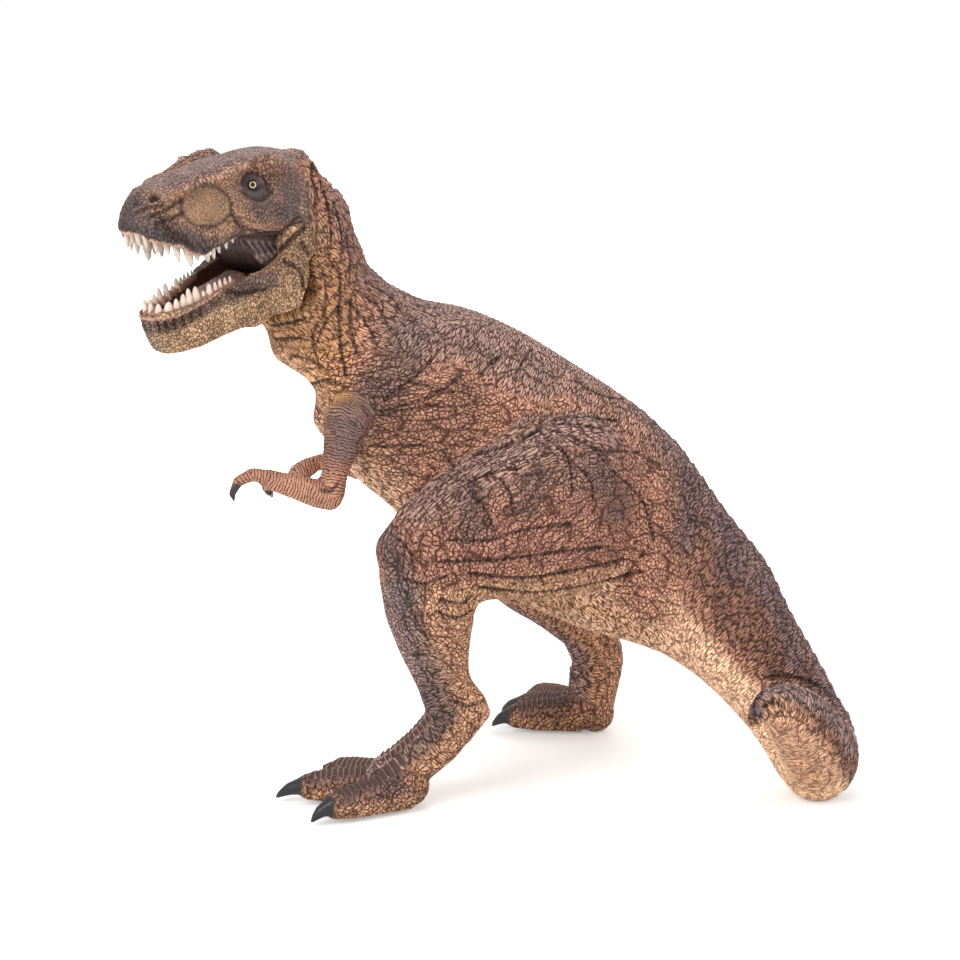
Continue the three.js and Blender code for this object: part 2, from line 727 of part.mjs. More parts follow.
function armPegRoot(shares, side) {
  const [x, , z] = shares.upper[0];
  return new THREE.Vector3(x * BODY_LENGTH, side * ARM_SEAT, z * HIP_HEIGHT);
}

function buildArm(shares, side) {
  const inward = new THREE.Vector3(0, -side, 0);
  const root = armPegRoot(shares, side);
  return armForm(shares, side)
    .subtract(beyond(root, inward))
    .add(peg(ARM_PEG, root, inward, PEG_LENGTH));
}

function armRecess(shares, side) {
  const inward = new THREE.Vector3(0, -side, 0);
  const root = armPegRoot(shares, side);
  const clear = root.clone().addScaledVector(inward, SEAM);
  return armForm(shares, side, SEAM)
    .subtract(beyond(clear, inward))
    .add(socket(ARM_PEG, root, inward, PEG_LENGTH));
}

const limbs = [
  { name: "left_leg", build: buildLeg, recess: legRecess, shares: LEFT_LEG_SHARES, side: LEFT },
  { name: "right_leg", build: buildLeg, recess: legRecess, shares: RIGHT_LEG_SHARES, side: RIGHT },
  { name: "left_arm", build: buildArm, recess: armRecess, shares: LEFT_ARM_SHARES, side: LEFT },
  { name: "right_arm", build: buildArm, recess: armRecess, shares: RIGHT_ARM_SHARES, side: RIGHT },
];

function buildTail() {
  const kept = body.intersect(beyond(tailSeam.point, tailSeam.direction));
  const inward = tailSeam.direction.clone().negate();
  return kept.add(peg(PLUG_SIZE, tailSeam.point, inward, PLUG_LENGTH)).subtract(floor);
}

function buildTorso() {
  const behind = tailSeam.point.clone().addScaledVector(tailSeam.direction, -SEAM);
  const ahead = neckSeam.point.clone().addScaledVector(neckSeam.direction, SEAM);
  const trunk = cut(body, [
    beyond(behind, tailSeam.direction),
    beyond(ahead, neckSeam.direction.clone().negate()),
    socket(PLUG_SIZE, tailSeam.point, tailSeam.direction.clone().negate(), PLUG_LENGTH),
    socket(PLUG_SIZE, neckSeam.point, neckSeam.direction, PLUG_LENGTH),
  ]);
  const folds = [false, true].flatMap((mirrored) =>
    skinFolds(framesOf(spine, dorsal), TRUNK_FOLD_SHARES, { flare: BODY_FLARE_SHARE, mirrored }),
  );
  return cut(
    join([trunk, ...folds]),
    limbs.map(({ recess, shares, side }) => recess(shares, side)),
  );
}

// Head: its own frame has the jaw pin as origin, with -X forward.
const [hingeX, hingeY, hingeZ] = HINGE_SHARE;
const throatRadius = THROAT_SHARE * HEAD_HEIGHT;
const headPlace = new THREE.Matrix4().compose(
  new THREE.Vector3(
    spine[0].centre.x + hingeX * HEAD_LENGTH,
    hingeY * HIP_WIDTH,
    hingeZ * HIP_HEIGHT,
  ),
  new THREE.Quaternion().setFromAxisAngle(UP, HEAD_TURN),
  new THREE.Vector3(1, 1, 1),
);

function skullRings() {
  return SKULL_SHARES.map(([x, z, rise, fall, halfBreadth]) => ({
    centre: new THREE.Vector3(x * HEAD_LENGTH, 0, z * HEAD_HEIGHT),
    rise: rise * HEAD_HEIGHT,
    fall: fall * HEAD_HEIGHT,
    breadth: halfBreadth * HEAD_BREADTH,
  }));
}

function jawRings() {
  return JAW_SHARES.map(([x, z, fall, halfBreadth]) => ({
    centre: new THREE.Vector3(x * HEAD_LENGTH, 0, z * JAW_DEPTH),
    rise: JAW_CROWN,
    fall: fall * JAW_DEPTH,
    breadth: halfBreadth * JAW_BREADTH,
  }));
}

// The arched hollow of the upper mouth, drawn in by the inset, sunk below the lips and rounded at the back.
function palateHollow(inset, sunk, start = 0) {
  const list = skullRings()
    .slice(PALATE_FIRST_RING, -1)
    .map((ring) => ({
      centre: ring.centre.clone().setZ(ring.centre.z - ring.fall + LIP / 2),
      rise: PALATE_RISE - LIP / 2 - inset,
      fall: sunk,
      breadth: ring.breadth - LIP - inset,
    }));
  return solid(loft(list, { sides: LIMB_SIDES, square: PALATE_BOXINESS, start, end: LIP - inset / 2 }));
}

// A gum strip with its teeth: it follows the lip from one corner of the mouth round to the other.
function gumLine(list, level) {
  const inset = LIP + SEAM + GUM_BREADTH / 2;
  const reach = list.filter((ring) => -ring.centre.x > TEETH_START_SHARE * HEAD_LENGTH);
  const half = reach.map((ring) => new THREE.Vector3(ring.centre.x, ring.breadth - inset, level(ring)));
  const front = half[half.length - 1];
  const tip = front.clone().setY(0);
  const mirrored = half.map((point) => new THREE.Vector3(point.x, -point.y, point.z));
  return [...half, tip, ...mirrored.reverse()];
}

function gumStrip(points, grow, drop = 0) {
  const list = points.map((centre) => ({
    centre,
    rise: GUM_HEIGHT / 2 + grow,
    fall: GUM_HEIGHT / 2 + grow + drop,
    breadth: GUM_BREADTH / 2 + grow,
  }));
  return solid(loft(list, { sides: GUM_SIDES, square: GUM_BOXINESS }));
}

// One curved, pointed tooth whose root is at the point. away is +1 for teeth that point up.
function tooth(root, length, thickness, away) {
  const list = TOOTH_SECTION_SHARES.map(([reach, lean, half]) => ({
    centre: root.clone().add(new THREE.Vector3(lean * length, 0, away * reach * length)),
    rise: half * thickness,
    fall: half * thickness,
    breadth: half * thickness,
  }));
  return solid(loft(list, { sides: TOOTH_SIDES, top: FORWARD }));
}

function dentition(points, shares, away) {
  const curve = new THREE.CurvePath();
  points.slice(1).forEach((point, k) => curve.add(new THREE.LineCurve3(points[k], point)));
  const span = curve.getLength() / 2;
  const teeth = [];
  shares.forEach((share, k) => {
    const along = ((k + 1 / 2) / shares.length) * span;
    const thickness = TOOTH_THICKNESS * (SLENDER_SHARE + (1 - SLENDER_SHARE) * share);
    for (const place of [span + along, span - along]) {
      const root = curve.getPointAt(place / (2 * span));
      teeth.push(tooth(root, share * TOOTH_LENGTH + GUM_HEIGHT / 2, thickness, away));
    }
  });
  return join([gumStrip(points, 0), ...teeth]);
}

const upperGum = gumLine(
  skullRings(),
  (ring) => ring.centre.z - ring.fall + LIP / 2 + GUM_HEIGHT / 2,
);
const lowerGum = gumLine(jawRings(), (ring) => ring.centre.z + JAW_CROWN - GUM_HEIGHT / 2);

// Side outline of the jaw from the root of its ear round the back and under the throat.
function jawBackOutline() {
  return WING_SHARES.map(([x, z]) => new THREE.Vector2(x * HEAD_LENGTH, z * JAW_DEPTH));
}

// Room for the back of the jaw, from shut to wide open.
function jawRoom() {
  const back = jawBackOutline();
  const under = framesOf(jawRings())
    .slice(0, JAW_ROOM_RINGS)
    .map(({ centre, crown, fall }) => centre.clone().addScaledVector(crown, -fall))
    .map(({ x, z }) => new THREE.Vector2(x, z));
  const swept = [...under.reverse(), back[back.length - 1]].map((point) => {
    const moved = point.clone().rotateAround(new THREE.Vector2(), JAW_GAPE + JAW_OPENING);
    return moved.setLength(moved.length() + JAW_ROOM).add(new THREE.Vector2(JAW_ROOM, 0));
  });
  const lip = back[0].clone().setLength(HEAD_LENGTH);
  const below = under[0].clone().setLength(HEAD_LENGTH);
  const outline = [new THREE.Vector2(), lip, below, ...swept, new THREE.Vector2(EAR_RADIUS, 0)];
  return solid(plate(outline, -HEAD_BREADTH, HEAD_BREADTH));
}

// The mouth insert: palate, rounded throat and the stretched skin of both cheeks.
function buildLining() {
  const within = palateHollow(SEAM + LINING_WALL, PALATE_RISE, PALATE_RISE);
  const arch = palateHollow(SEAM, 0).subtract(within);
  const throat = solid(bar(throatRadius, THROAT_BREADTH));
  const outline = WEB_SHARES.map(([x, z]) => new THREE.Vector2(x * HEAD_LENGTH, z * HEAD_HEIGHT));
  const outer = THROAT_BREADTH / 2;
  const webs = [
    solid(plate(outline, -outer, -outer + WEB_THICKNESS)),
    solid(plate(outline, outer - WEB_THICKNESS, outer)),
  ];
  const pinHole = solid(bar(PIN_RADIUS + PIN_CLEARANCE, HEAD_BREADTH));
  return cut(join([arch, throat, ...webs]), [gumStrip(upperGum, GUM_ROOM, 2 * LIP), pinHole]);
}

function earRoom() {
  const inner = THROAT_BREADTH / 2;
  const radius = EAR_RADIUS + SEAM;
  return [LEFT, RIGHT].map((side) => solid(bar(radius, inner, side * (inner + inner / 2))));
}

function buildHead() {
  const skull = solid(
    loft(skullRings(), {
      sides: BODY_SIDES,
      flare: SKULL_FLARE_SHARE,
      square: SKULL_BOXINESS,
      start: SKULL_BACK,
      end: SNOUT_FRONT,
    }),
  );
  const brows = [LEFT, RIGHT].map((side) => {
    const list = BROW_SHARES.map(([x, y, z, half]) => ({
      centre: new THREE.Vector3(x * HEAD_LENGTH, side * y * HEAD_BREADTH, z * HEAD_HEIGHT),
      rise: half * BROW_THICKNESS,
      fall: half * BROW_THICKNESS,
      breadth: half * BROW_THICKNESS,
    }));
    return solid(loft(list, { sides: SMALL_SIDES, start: BROW_THICKNESS / 4, end: BROW_THICKNESS / 3 }));
  });
  const [eyeX, eyeY, eyeZ] = EYE_SHARE;
  const eyes = [LEFT, RIGHT].map((side) =>
    solid(
      new THREE.SphereGeometry(EYE_RADIUS, SMALL_SIDES, SMALL_SIDES).translate(
        eyeX * HEAD_LENGTH,
        side * eyeY * HEAD_BREADTH,
        eyeZ * HEAD_HEIGHT,
      ),
    ),
  );
  const neck = body
    .subtract(beyond(neckSeam.point, neckSeam.direction))
    .add(peg(PLUG_SIZE, neckSeam.point, neckSeam.direction, PLUG_LENGTH))
    .transform(headPlace.clone().invert().elements);
  const throat = solid(bar(throatRadius + SEAM, THROAT_BREADTH + 2 * SEAM));
  return cut(join([skull, neck, ...brows, ...eyes]), [
    jawRoom(),
    throat,
    ...earRoom(),
    palateHollow(0, PALATE_RISE),
    gumStrip(upperGum, GUM_ROOM, 2 * LIP),
  ]);
}

// Lower jaw, in the frame of the shut jaw.
function buildJaw() {
  const list = jawRings();
  const outer = solid(loft(list, { sides: LIMB_SIDES, square: JAW_BOXINESS, end: LIP }));
  const trough = list.map((ring) => ({
    centre: ring.centre.clone().setZ(ring.centre.z + ring.rise),
    rise: MOUTH_FLOOR,
    fall: MOUTH_FLOOR,
    breadth: ring.breadth - LIP,
  }));
  const hollow = solid(loft(trough, { sides: LIMB_SIDES, square: TROUGH_BOXINESS, start: EAR_RADIUS }));
  const inner = THROAT_BREADTH / 2 + SEAM;
  const outline = [new THREE.Vector2(), ...jawBackOutline()];
  const ears = [
    [-inner - EAR_THICKNESS, -inner],
    [inner, inner + EAR_THICKNESS],
  ].flatMap(([from, to]) => [
    solid(plate(outline, from, to, EAR_EDGE)),
    solid(bar(EAR_RADIUS, EAR_THICKNESS, (from + to) / 2)),
  ]);
  const pinHole = solid(bar(PIN_RADIUS + PIN_CLEARANCE, 2 * (inner + EAR_THICKNESS - EAR_SKIN)));
  const throat = solid(bar(throatRadius + SEAM, 2 * inner));
  return cut(join([outer.subtract(hollow), ...ears]), [throat, pinHole, gumStrip(lowerGum, GUM_ROOM)]);
}

function buildTongue() {
  const list = TONGUE_SHARES.map(([x, z, halfThickness, halfBreadth]) => ({
    centre: new THREE.Vector3(x * HEAD_LENGTH, 0, z * JAW_DEPTH),
    rise: halfThickness * TONGUE_THICKNESS,
    fall: halfThickness * TONGUE_THICKNESS,
    breadth: halfBreadth * TONGUE_BREADTH,
  }));
  return solid(loft(list, { sides: LIMB_SIDES, start: TONGUE_THICKNESS / 2, end: TONGUE_THICKNESS }));
}

function buildPin() {
  const length = THROAT_BREADTH + 2 * (SEAM + EAR_THICKNESS - EAR_SKIN - SOCKET_SPARE);
  return solid(bar(PIN_RADIUS, length));
}

const jaw = new THREE.Group();
jaw.rotation.y = -JAW_GAPE;
jaw.add(
  mesh("lower_jaw", buildJaw(), jawHide),
  mesh("lower_teeth", dentition(lowerGum, LOWER_TOOTH_SHARES, 1), ivory),
  mesh("tongue", buildTongue(), tongueSkin),
);

const head = new THREE.Group();
head.applyMatrix4(headPlace);
head.add(
  mesh("head", buildHead(), headHide),
  mesh("mouth_lining", buildLining(), mouthSkin),
  mesh("upper_teeth", dentition(upperGum, UPPER_TOOTH_SHARES, -1), ivory),
  mesh("jaw_hinge_pin", buildPin(), steel),
  jaw,
);

const figure = new THREE.Group();
figure.add(
  mesh("torso", buildTorso(), hide),
  mesh("tail", buildTail(), hide),
  ...limbs.map(({ name, build, shares, side }) => mesh(name, build(shares, side), hide)),
  head,
);

// The origin goes under the middle of the whole figure.
const extent = new THREE.Box3().setFromObject(figure, true);
const middle = extent.getCenter(new THREE.Vector3());
figure.position.set(-middle.x, -middle.y, -extent.min.z);

const toy = new THREE.Group();
toy.add(figure);

export default toy;
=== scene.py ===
"""Looks of the toy dinosaur figure: its sculpted and painted hide, mouth, teeth and studio.

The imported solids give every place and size. Each hide piece is a dense skin taken from those
solids, closed over their seams, then sculpted and painted along strokes that are given as
pixels of the photograph and cast onto the figure.
"""

import logging
import math
from dataclasses import dataclass
from enum import Enum
from typing import Dict, List, Optional, Sequence, Tuple, Union

import bmesh
import bpy
import numpy as np
from mathutils import Matrix, Vector
from mathutils.bvhtree import BVHTree

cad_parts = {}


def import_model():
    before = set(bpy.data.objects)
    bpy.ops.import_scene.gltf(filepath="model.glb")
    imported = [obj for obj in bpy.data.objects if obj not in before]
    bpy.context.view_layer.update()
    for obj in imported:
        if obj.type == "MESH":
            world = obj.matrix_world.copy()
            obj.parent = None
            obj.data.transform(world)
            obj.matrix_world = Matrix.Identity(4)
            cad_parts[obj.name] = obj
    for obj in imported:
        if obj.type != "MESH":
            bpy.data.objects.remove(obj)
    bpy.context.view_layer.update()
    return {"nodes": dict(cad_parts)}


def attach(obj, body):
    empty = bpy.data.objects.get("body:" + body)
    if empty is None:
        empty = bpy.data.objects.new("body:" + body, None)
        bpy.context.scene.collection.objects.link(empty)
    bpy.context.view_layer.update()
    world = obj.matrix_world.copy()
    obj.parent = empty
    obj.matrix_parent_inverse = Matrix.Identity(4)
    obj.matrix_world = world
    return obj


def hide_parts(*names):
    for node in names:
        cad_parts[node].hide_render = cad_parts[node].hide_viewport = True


LOG = logging.getLogger("figure")
MM = 0.001
Pixel = Tuple[float, float]
Point = Tuple[float, float, float]
Colour = Tuple[int, int, int]

HINGE: Point = (-55.495, -1.923, 142.3)
HEAD_TURN = math.radians(31)
HEAD_SIDE = np.array((-math.sin(HEAD_TURN), math.cos(HEAD_TURN), 0.0))
HEAD_BACK = np.array((math.cos(HEAD_TURN), math.sin(HEAD_TURN), 0.0))
BODY_MIDDLE = 0.877
# Paint in the depth of folds: partly dark wash, partly painted shade.
FOLD_WASH_AND_SHADE: Colour = (62, 36, 30)
MOUTH_PAINT: Colour = (98, 62, 56)
GUM_PAINT: Colour = (160, 116, 100)
PATTERNS = ("scales", "cross", "along", "beads", "bars")


def linear(colour: Colour) -> Tuple[float, float, float]:
    """Returns an sRGB colour of 0 to 255 as linear values."""
    parts = [c / 255 for c in colour]
    return tuple(p / 12.92 if p <= 0.04045 else ((p + 0.055) / 1.055) ** 2.4 for p in parts)


def ease(value: np.ndarray, low: float, high: float) -> np.ndarray:
    """Returns 0 below low, 1 above high and a smooth step between them."""
    t = np.clip((value - low) / (high - low), 0, 1)
    return t * t * (3 - 2 * t)


def cloud(points: np.ndarray, size: float, seed: int) -> np.ndarray:
    """Returns smooth noise from -1 to 1 at each point, with lumps of the given size."""
    place = points / size + seed * 17.31
    cell = np.floor(place).astype(np.int64)
    share = place - cell
    share = share * share * (3 - 2 * share)
    total = np.zeros(len(points))
    for corner in range(8):
        step = np.array([corner & 1, (corner >> 1) & 1, (corner >> 2) & 1])
        key = cell + step
        mixed = (key[:, 0] * 73856093) ^ (key[:, 1] * 19349663) ^ (key[:, 2] * 83492791)
        mixed = (mixed ^ (mixed >> 13)) * 1274126177
        value = ((mixed ^ (mixed >> 16)) & 65535) / 32767.5 - 1
        total += value * np.prod(np.where(step == 1, share, 1 - share), axis=1)
    return total


class Sock:
    """A value in a node tree, on which arithmetic adds the nodes that work it out."""

    def __init__(self, nodes: "Nodes", socket: Optional[bpy.types.NodeSocket]) -> None:
        """Wraps one output socket."""
        self.nodes = nodes
        self.socket = socket

    def __add__(self, other: "Value") -> "Sock":
        """Adds a number or a value."""
        return self.nodes.math("ADD", self, other)

    def __radd__(self, other: float) -> "Sock":
        """Adds to a number."""
        return self.nodes.math("ADD", other, self)

    def __sub__(self, other: "Value") -> "Sock":
        """Subtracts a number or a value."""
        return self.nodes.math("SUBTRACT", self, other)

    def __rsub__(self, other: float) -> "Sock":
        """Subtracts from a number."""
        return self.nodes.math("SUBTRACT", other, self)

    def __mul__(self, other: "Value") -> "Sock":
        """Multiplies by a number or a value."""
        return self.nodes.math("MULTIPLY", self, other)

    def __rmul__(self, other: float) -> "Sock":
        """Multiplies a number."""
        return self.nodes.math("MULTIPLY", other, self)


Value = Union[Sock, float]


class Nodes:
    """Adds nodes to a shader or geometry tree."""

    def __init__(self, tree: bpy.types.NodeTree) -> None:
        """Starts with an empty tree."""
        self.tree = tree
        tree.nodes.clear()

    def add(
        self,
        kind: str,
        values: Optional[Dict[Union[int, str], object]] = None,
        out: Union[int, str] = 0,
        **settings: object,
    ) -> Sock:
        """Adds one node.

        Args:
            kind: the node's type.
            values: numbers, colours or values for its inputs, by name or place.
            out: the output that is returned, by name or place.
            settings: what is set on the node itself first.

        Returns:
            The output's value.
        """
        node = self.tree.nodes.new(kind)
        for name, setting in settings.items():
            setattr(node, name, setting)
        for key, value in (values or {}).items():
            if isinstance(value, Sock):
                self.tree.links.new(value.socket, node.inputs[key])
            else:
                node.inputs[key].default_value = value
        return Sock(self, node.outputs[out]) if node.outputs else Sock(self, None)

    def math(self, operation: str, *values: Value) -> Sock:
        """Adds one Math node on one to three values."""
        return self.add("ShaderNodeMath", dict(enumerate(values)), operation=operation)

    def stretch(self, vector: Sock, shares: Point) -> Sock:
        """Multiplies each part of a vector by a number of its own."""
        return self.add("ShaderNodeVectorMath", {0: vector, 1: shares}, operation="MULTIPLY")

    def shift(self, vector: Sock, noise: Sock, reach: Point) -> Sock:
        """Moves a place by noise of its own for each direction, times a reach."""
        values = {0: vector, 1: self.stretch(noise, reach)}
        return self.add("ShaderNodeVectorMath", values, operation="ADD")

    def mix(self, share: Value, first: object, second: object) -> Sock:
        """Mixes two colours, where a share of 0 gives the first."""
        values = {0: share, 6: first, 7: second}
        return self.add("ShaderNodeMix", values, out=2, data_type="RGBA", clamp_factor=True)

    def step(self, value: Sock, low: float, high: float, start: float = 0, end: float = 1) -> Sock:
        """Adds a smooth step from start to end as the value goes from low to high."""
        values = {0: value, 1: low, 2: high, 3: start, 4: end}
        return self.add("ShaderNodeMapRange", values, interpolation_type="SMOOTHSTEP")

    def edges(self, vector: Sock, flat: bool) -> Sock:
        """Adds the distance to the borders of cells one unit wide, in a plane or in space."""
        settings = {"feature": "DISTANCE_TO_EDGE", "voronoi_dimensions": "2D" if flat else "3D"}
        return self.add("ShaderNodeTexVoronoi", {"Vector": vector, "Scale": 1.0}, "Distance", **settings)

    def attribute(self, name: str, kind: str) -> Sock:
        """Reads a piece's own attribute, of type FLOAT, FLOAT_VECTOR or COLOR."""
        if self.tree.type == "SHADER":
            out = {"FLOAT": "Fac", "FLOAT_VECTOR": "Vector", "COLOR": "Color"}[kind]
            return self.add("ShaderNodeAttribute", out=out, attribute_name=name)
        return self.add("GeometryNodeInputNamedAttribute", {"Name": name}, data_type=kind)

    def noise(self, vector: Sock, scale: float, detail: float = 2) -> Sock:
        """Adds noise about 0.5."""
        values = {"Vector": vector, "Scale": scale, "Detail": detail}
        return self.add("ShaderNodeTexNoise", values, 0)


def add_object(name: str, data: Optional[bpy.types.ID]) -> bpy.types.Object:
    """Adds an object to the scene and returns it."""
    made = bpy.data.objects.new(name, data)
    bpy.context.scene.collection.objects.link(made)
    return made


def new_finish(name: str) -> Tuple[bpy.types.Material, Nodes]:
    """Returns a new material, and the means to fill its tree."""
    material = bpy.data.materials.new(name)
    material.use_nodes = True
    return material, Nodes(material.node_tree)


def apply_modifiers(piece: bpy.types.Object) -> None:
    """Turns a piece's modifiers into its plain mesh."""
    graph = bpy.context.evaluated_depsgraph_get()
    made = bpy.data.meshes.new_from_object(piece.evaluated_get(graph))
    piece.modifiers.clear()
    old, piece.data = piece.data, made
    name = old.name
    bpy.data.meshes.remove(old)
    made.name = name


class Recipe:
    """A Geometry Nodes tree with numbers as inputs, run once on a piece."""

    def __init__(self, name: str, inputs: Dict[str, float]) -> None:
        """Starts a tree that takes geometry and the named numbers."""
        self.tree = bpy.data.node_groups.new(name, "GeometryNodeTree")
        outside = self.tree.interface
        outside.new_socket("Geometry", in_out="INPUT", socket_type="NodeSocketGeometry")
        self.values: Dict[str, float] = {}
        for label, value in inputs.items():
            socket = outside.new_socket(label, in_out="INPUT", socket_type="NodeSocketFloat")
            self.values[socket.identifier] = value
        outside.new_socket("Geometry", in_out="OUTPUT", socket_type="NodeSocketGeometry")
        self.nodes = Nodes(self.tree)
        group = self.tree.nodes.new("NodeGroupInput")
        self.given = [Sock(self.nodes, group.outputs[k]) for k in range(1 + len(inputs))]

    def run(self, piece: bpy.types.Object, result: Sock) -> None:
        """Turns a piece's mesh into what the tree makes of it."""
        self.nodes.add("NodeGroupOutput", {0: result})
        modifier = piece.modifiers.new(self.tree.name, "NODES")
        modifier.node_group = self.tree
        for identifier, value in self.values.items():
            modifier[identifier] = value
        apply_modifiers(piece)


@dataclass(frozen=True)
class View:
    """The photograph's viewpoint, in millimetres, and its frame of 960 by 960 pixels."""

    eye: Point = (-81.3, -571.4, 194.9)
    target: Point = (-3.4, -17.1, 82.0)
    lens: float = 84.6
    sensor: float = 36.0
    frame: float = 960.0

    def ray(self, pixel: Pixel) -> Tuple[Vector, Vector]:
        """Returns the line of sight of a pixel as a point and a direction."""
        forward = (Vector(self.target) - Vector(self.eye)).normalized()
        right = forward.cross(Vector((0, 0, 1))).normalized()
        up = right.cross(forward)
        reach = self.lens / self.sensor * self.frame
        across, down = pixel[0] - self.frame / 2, pixel[1] - self.frame / 2
        return Vector(self.eye), (forward * reach + right * across - up * down).normalized()

    def place(self) -> None:
        """Adds the camera."""
        camera = add_object("camera", bpy.data.cameras.new("camera"))
        camera.location = Vector(self.eye) * MM
        look = Vector(self.target) - Vector(self.eye)
        camera.rotation_euler = look.to_track_quat("-Z", "Y").to_euler()
        camera.data.lens = self.lens
        camera.data.sensor_width = self.sensor
        bpy.context.scene.camera = camera


@dataclass(frozen=True)
class Studio:
    """A white floor and soft lamps."""

    floor_half: float = 3.0
    floor_gap: float = 0.0002
    key_power: float = 9.0
    fill_power: float = 4.0
    sky: float = 0.62

    def floor(self) -> None:
        """Adds the floor, whose shadows stay and whose light parts look white."""
        mesh = bpy.data.meshes.new("floor")
        h = self.floor_half
        mesh.from_pydata([(-h, -h, 0), (h, -h, 0), (h, h, 0), (-h, h, 0)], [], [(0, 1, 2, 3)])
        floor = add_object("floor", mesh)
        floor.location.z = -self.floor_gap
        material, n = new_finish("studio_floor")
        paper = n.add("ShaderNodeBsdfDiffuse", {"Color": (0.9, 0.9, 0.9, 1)})
        place = n.add("ShaderNodeTexCoord", out="Object")
        away = n.add("ShaderNodeVectorMath", {0: place}, "Value", operation="LENGTH")
        level = n.step(away, 0.12, 0.42, 0.3, 1.0)
        glow = n.add("ShaderNodeEmission", {"Color": level})
        both = n.add("ShaderNodeAddShader", {0: paper, 1: glow})
        seen = n.add("ShaderNodeLightPath", out="Is Camera Ray")
        shader = n.add("ShaderNodeMixShader", {0: seen, 1: paper, 2: both})
        n.add("ShaderNodeOutputMaterial", {"Surface": shader})
        mesh.materials.append(material)

    def lamp(self, name: str, place: Point, size: float, power: float) -> None:
        """Adds one square lamp that points at the figure."""
        data = bpy.data.lights.new(name, "AREA")
        data.size = size
        data.energy = power
        lamp = add_object(name, data)
        lamp.location = place
        lamp.rotation_euler = (Vector((0, 0, 0.08)) - Vector(place)).to_track_quat("-Z", "Y").to_euler()

    def build(self) -> None:
        """Adds floor, lamps and the white surroundings."""
        self.floor()
        self.lamp("key", (-0.72, -0.74, 0.84), 0.7, self.key_power)
        self.lamp("fill", (0.9, -0.55, 0.6), 0.9, self.fill_power)
        self.lamp("back", (0.2, 0.9, 0.8), 0.8, self.fill_power)
        world = bpy.data.worlds.new("studio")
        world.use_nodes = True
        bpy.context.scene.world = world
        n = Nodes(world.node_tree)
        seen = n.add("ShaderNodeLightPath", out="Is Camera Ray")
        strength = seen * (1 - self.sky) + self.sky
        sky = n.add("ShaderNodeBackground", {"Color": (1, 1, 1, 1), "Strength": strength})
        n.add("ShaderNodeOutputWorld", {"Surface": sky})
        bpy.context.scene.view_settings.view_transform = "Standard"


class Mirror(Enum):
    """The plane that a stroke is mirrored in for the far side."""

    NONE = 0
    BODY = 1
    HEAD = 2

    def flip(self, points: np.ndarray) -> np.ndarray:
        """Returns the mirror images of points in millimetres."""
        if self is Mirror.BODY:
            return points * (1, -1, 1) + (0, 2 * BODY_MIDDLE, 0)
        offset = (points - np.array(HINGE)) @ HEAD_SIDE
        return points - 2 * offset[:, None] * HEAD_SIDE


@dataclass(frozen=True)
class Stroke:
    """A line on the hide, through pixels of the photograph.

    Attributes:
        path: the pixels; one pixel alone makes a spot.
        width: its half width in millimetres.
        lift: how far it raises the hide at its middle, negative for a groove.
        rim: what its edges rise, as a share of a groove's depth.
        colour: the paint along it, if any.
        cover: how opaque that paint is.
        soft: the share of the width over which paint fades.
        gloss: how glossy the paint is.
        plain: how far the paint fills the hide's pattern.
        pull: how far the hide is drawn along, in the figure's frame.
    """

    path: Tuple[Pixel, ...]
    width: float
    lift: float = 0.0
    rim: float = 0.0
    colour: Optional[Colour] = None
    cover: float = 1.0
    soft: float = 0.6
    gloss: float = 0.0
    plain: float = 0.0
    pull: Point = (0.0, 0.0, 0.0)


def smooth_path(path: Sequence[Sequence[float]], spacing: float) -> np.ndarray:
    """Returns points about spacing apart on a smooth curve through the path."""
    points = np.array(path, float)
    if len(points) == 1:
        return points
    padded = np.vstack([2 * points[0] - points[1], points, 2 * points[-1] - points[-2]])
    result = []
    for k in range(1, len(padded) - 2):
        a, b, c, d = padded[k - 1 : k + 3]
        steps = max(1, round(np.linalg.norm(c - b) / spacing))
        for t in np.arange(steps) / steps:
            near = 2 * b + (c - a) * t + (2 * a - 5 * b + 4 * c - d) * t * t
            result.append(0.5 * (near + (3 * b - a - 3 * c + d) * t**3))
    result.append(points[-1])
    return np.array(result)


@dataclass(frozen=True)
class Swell:
    """A soft push of the hide near a place: the place, its reach and the push, in millimetres."""

    place: Point
    reach: float
    push: Point

    def work(self, co: np.ndarray) -> None:
        """Moves the points near the place."""
        far = np.linalg.norm(co - np.array(self.place), axis=1) / self.reach
        co += np.exp(-far * far)[:, None] * np.array(self.push)


class Pencil:
    """Casts pixels of the photograph onto solids."""

    def __init__(self, view: View, skin: "Skin") -> None:
        """Reads the skin's surface as it is now."""
        self.view = view
        self.tree = BVHTree.FromPolygons(skin.co.tolist(), skin.faces.tolist())

    def cast(self, pixel: Pixel) -> Optional[Tuple[Vector, Vector]]:
        """Returns where the line of sight meets the skin, and the normal there."""
        place, normal, _, _ = self.tree.ray_cast(*self.view.ray(pixel))
        return None if place is None else (place, normal)

    def trace(self, path: Sequence[Pixel], spacing: float = 5.0) -> Tuple[np.ndarray, np.ndarray]:
        """Returns the points and normals of a path of pixels on the skin."""
        found = [self.cast(tuple(p)) for p in smooth_path(path, spacing)]
        found = [f for f in found if f is not None]
        points = np.array([f[0] for f in found], float).reshape(-1, 3)
        normals = np.array([f[1] for f in found], float).reshape(-1, 3)
        return points, normals

    def settle(self, points: np.ndarray) -> Tuple[np.ndarray, np.ndarray]:
        """Returns the nearest points of the skin, and the normals there."""
        found = [self.tree.find_nearest(p) for p in points]
        return np.array([f[0] for f in found]), np.array([f[1] for f in found])


def distance_to_path(points: np.ndarray, path: np.ndarray) -> np.ndarray:
    """Returns how far each point is from a line through the path."""
    if len(path) == 1:
        return np.linalg.norm(points - path[0], axis=1)
    best = np.full(len(points), np.inf)
    for a, b in zip(path[:-1], path[1:]):
        run = b - a
        share = np.clip((points - a) @ run / max(run @ run, 1e-9), 0, 1)
        best = np.minimum(best, np.sum((points - a - share[:, None] * run) ** 2, axis=1))
    return np.sqrt(best)


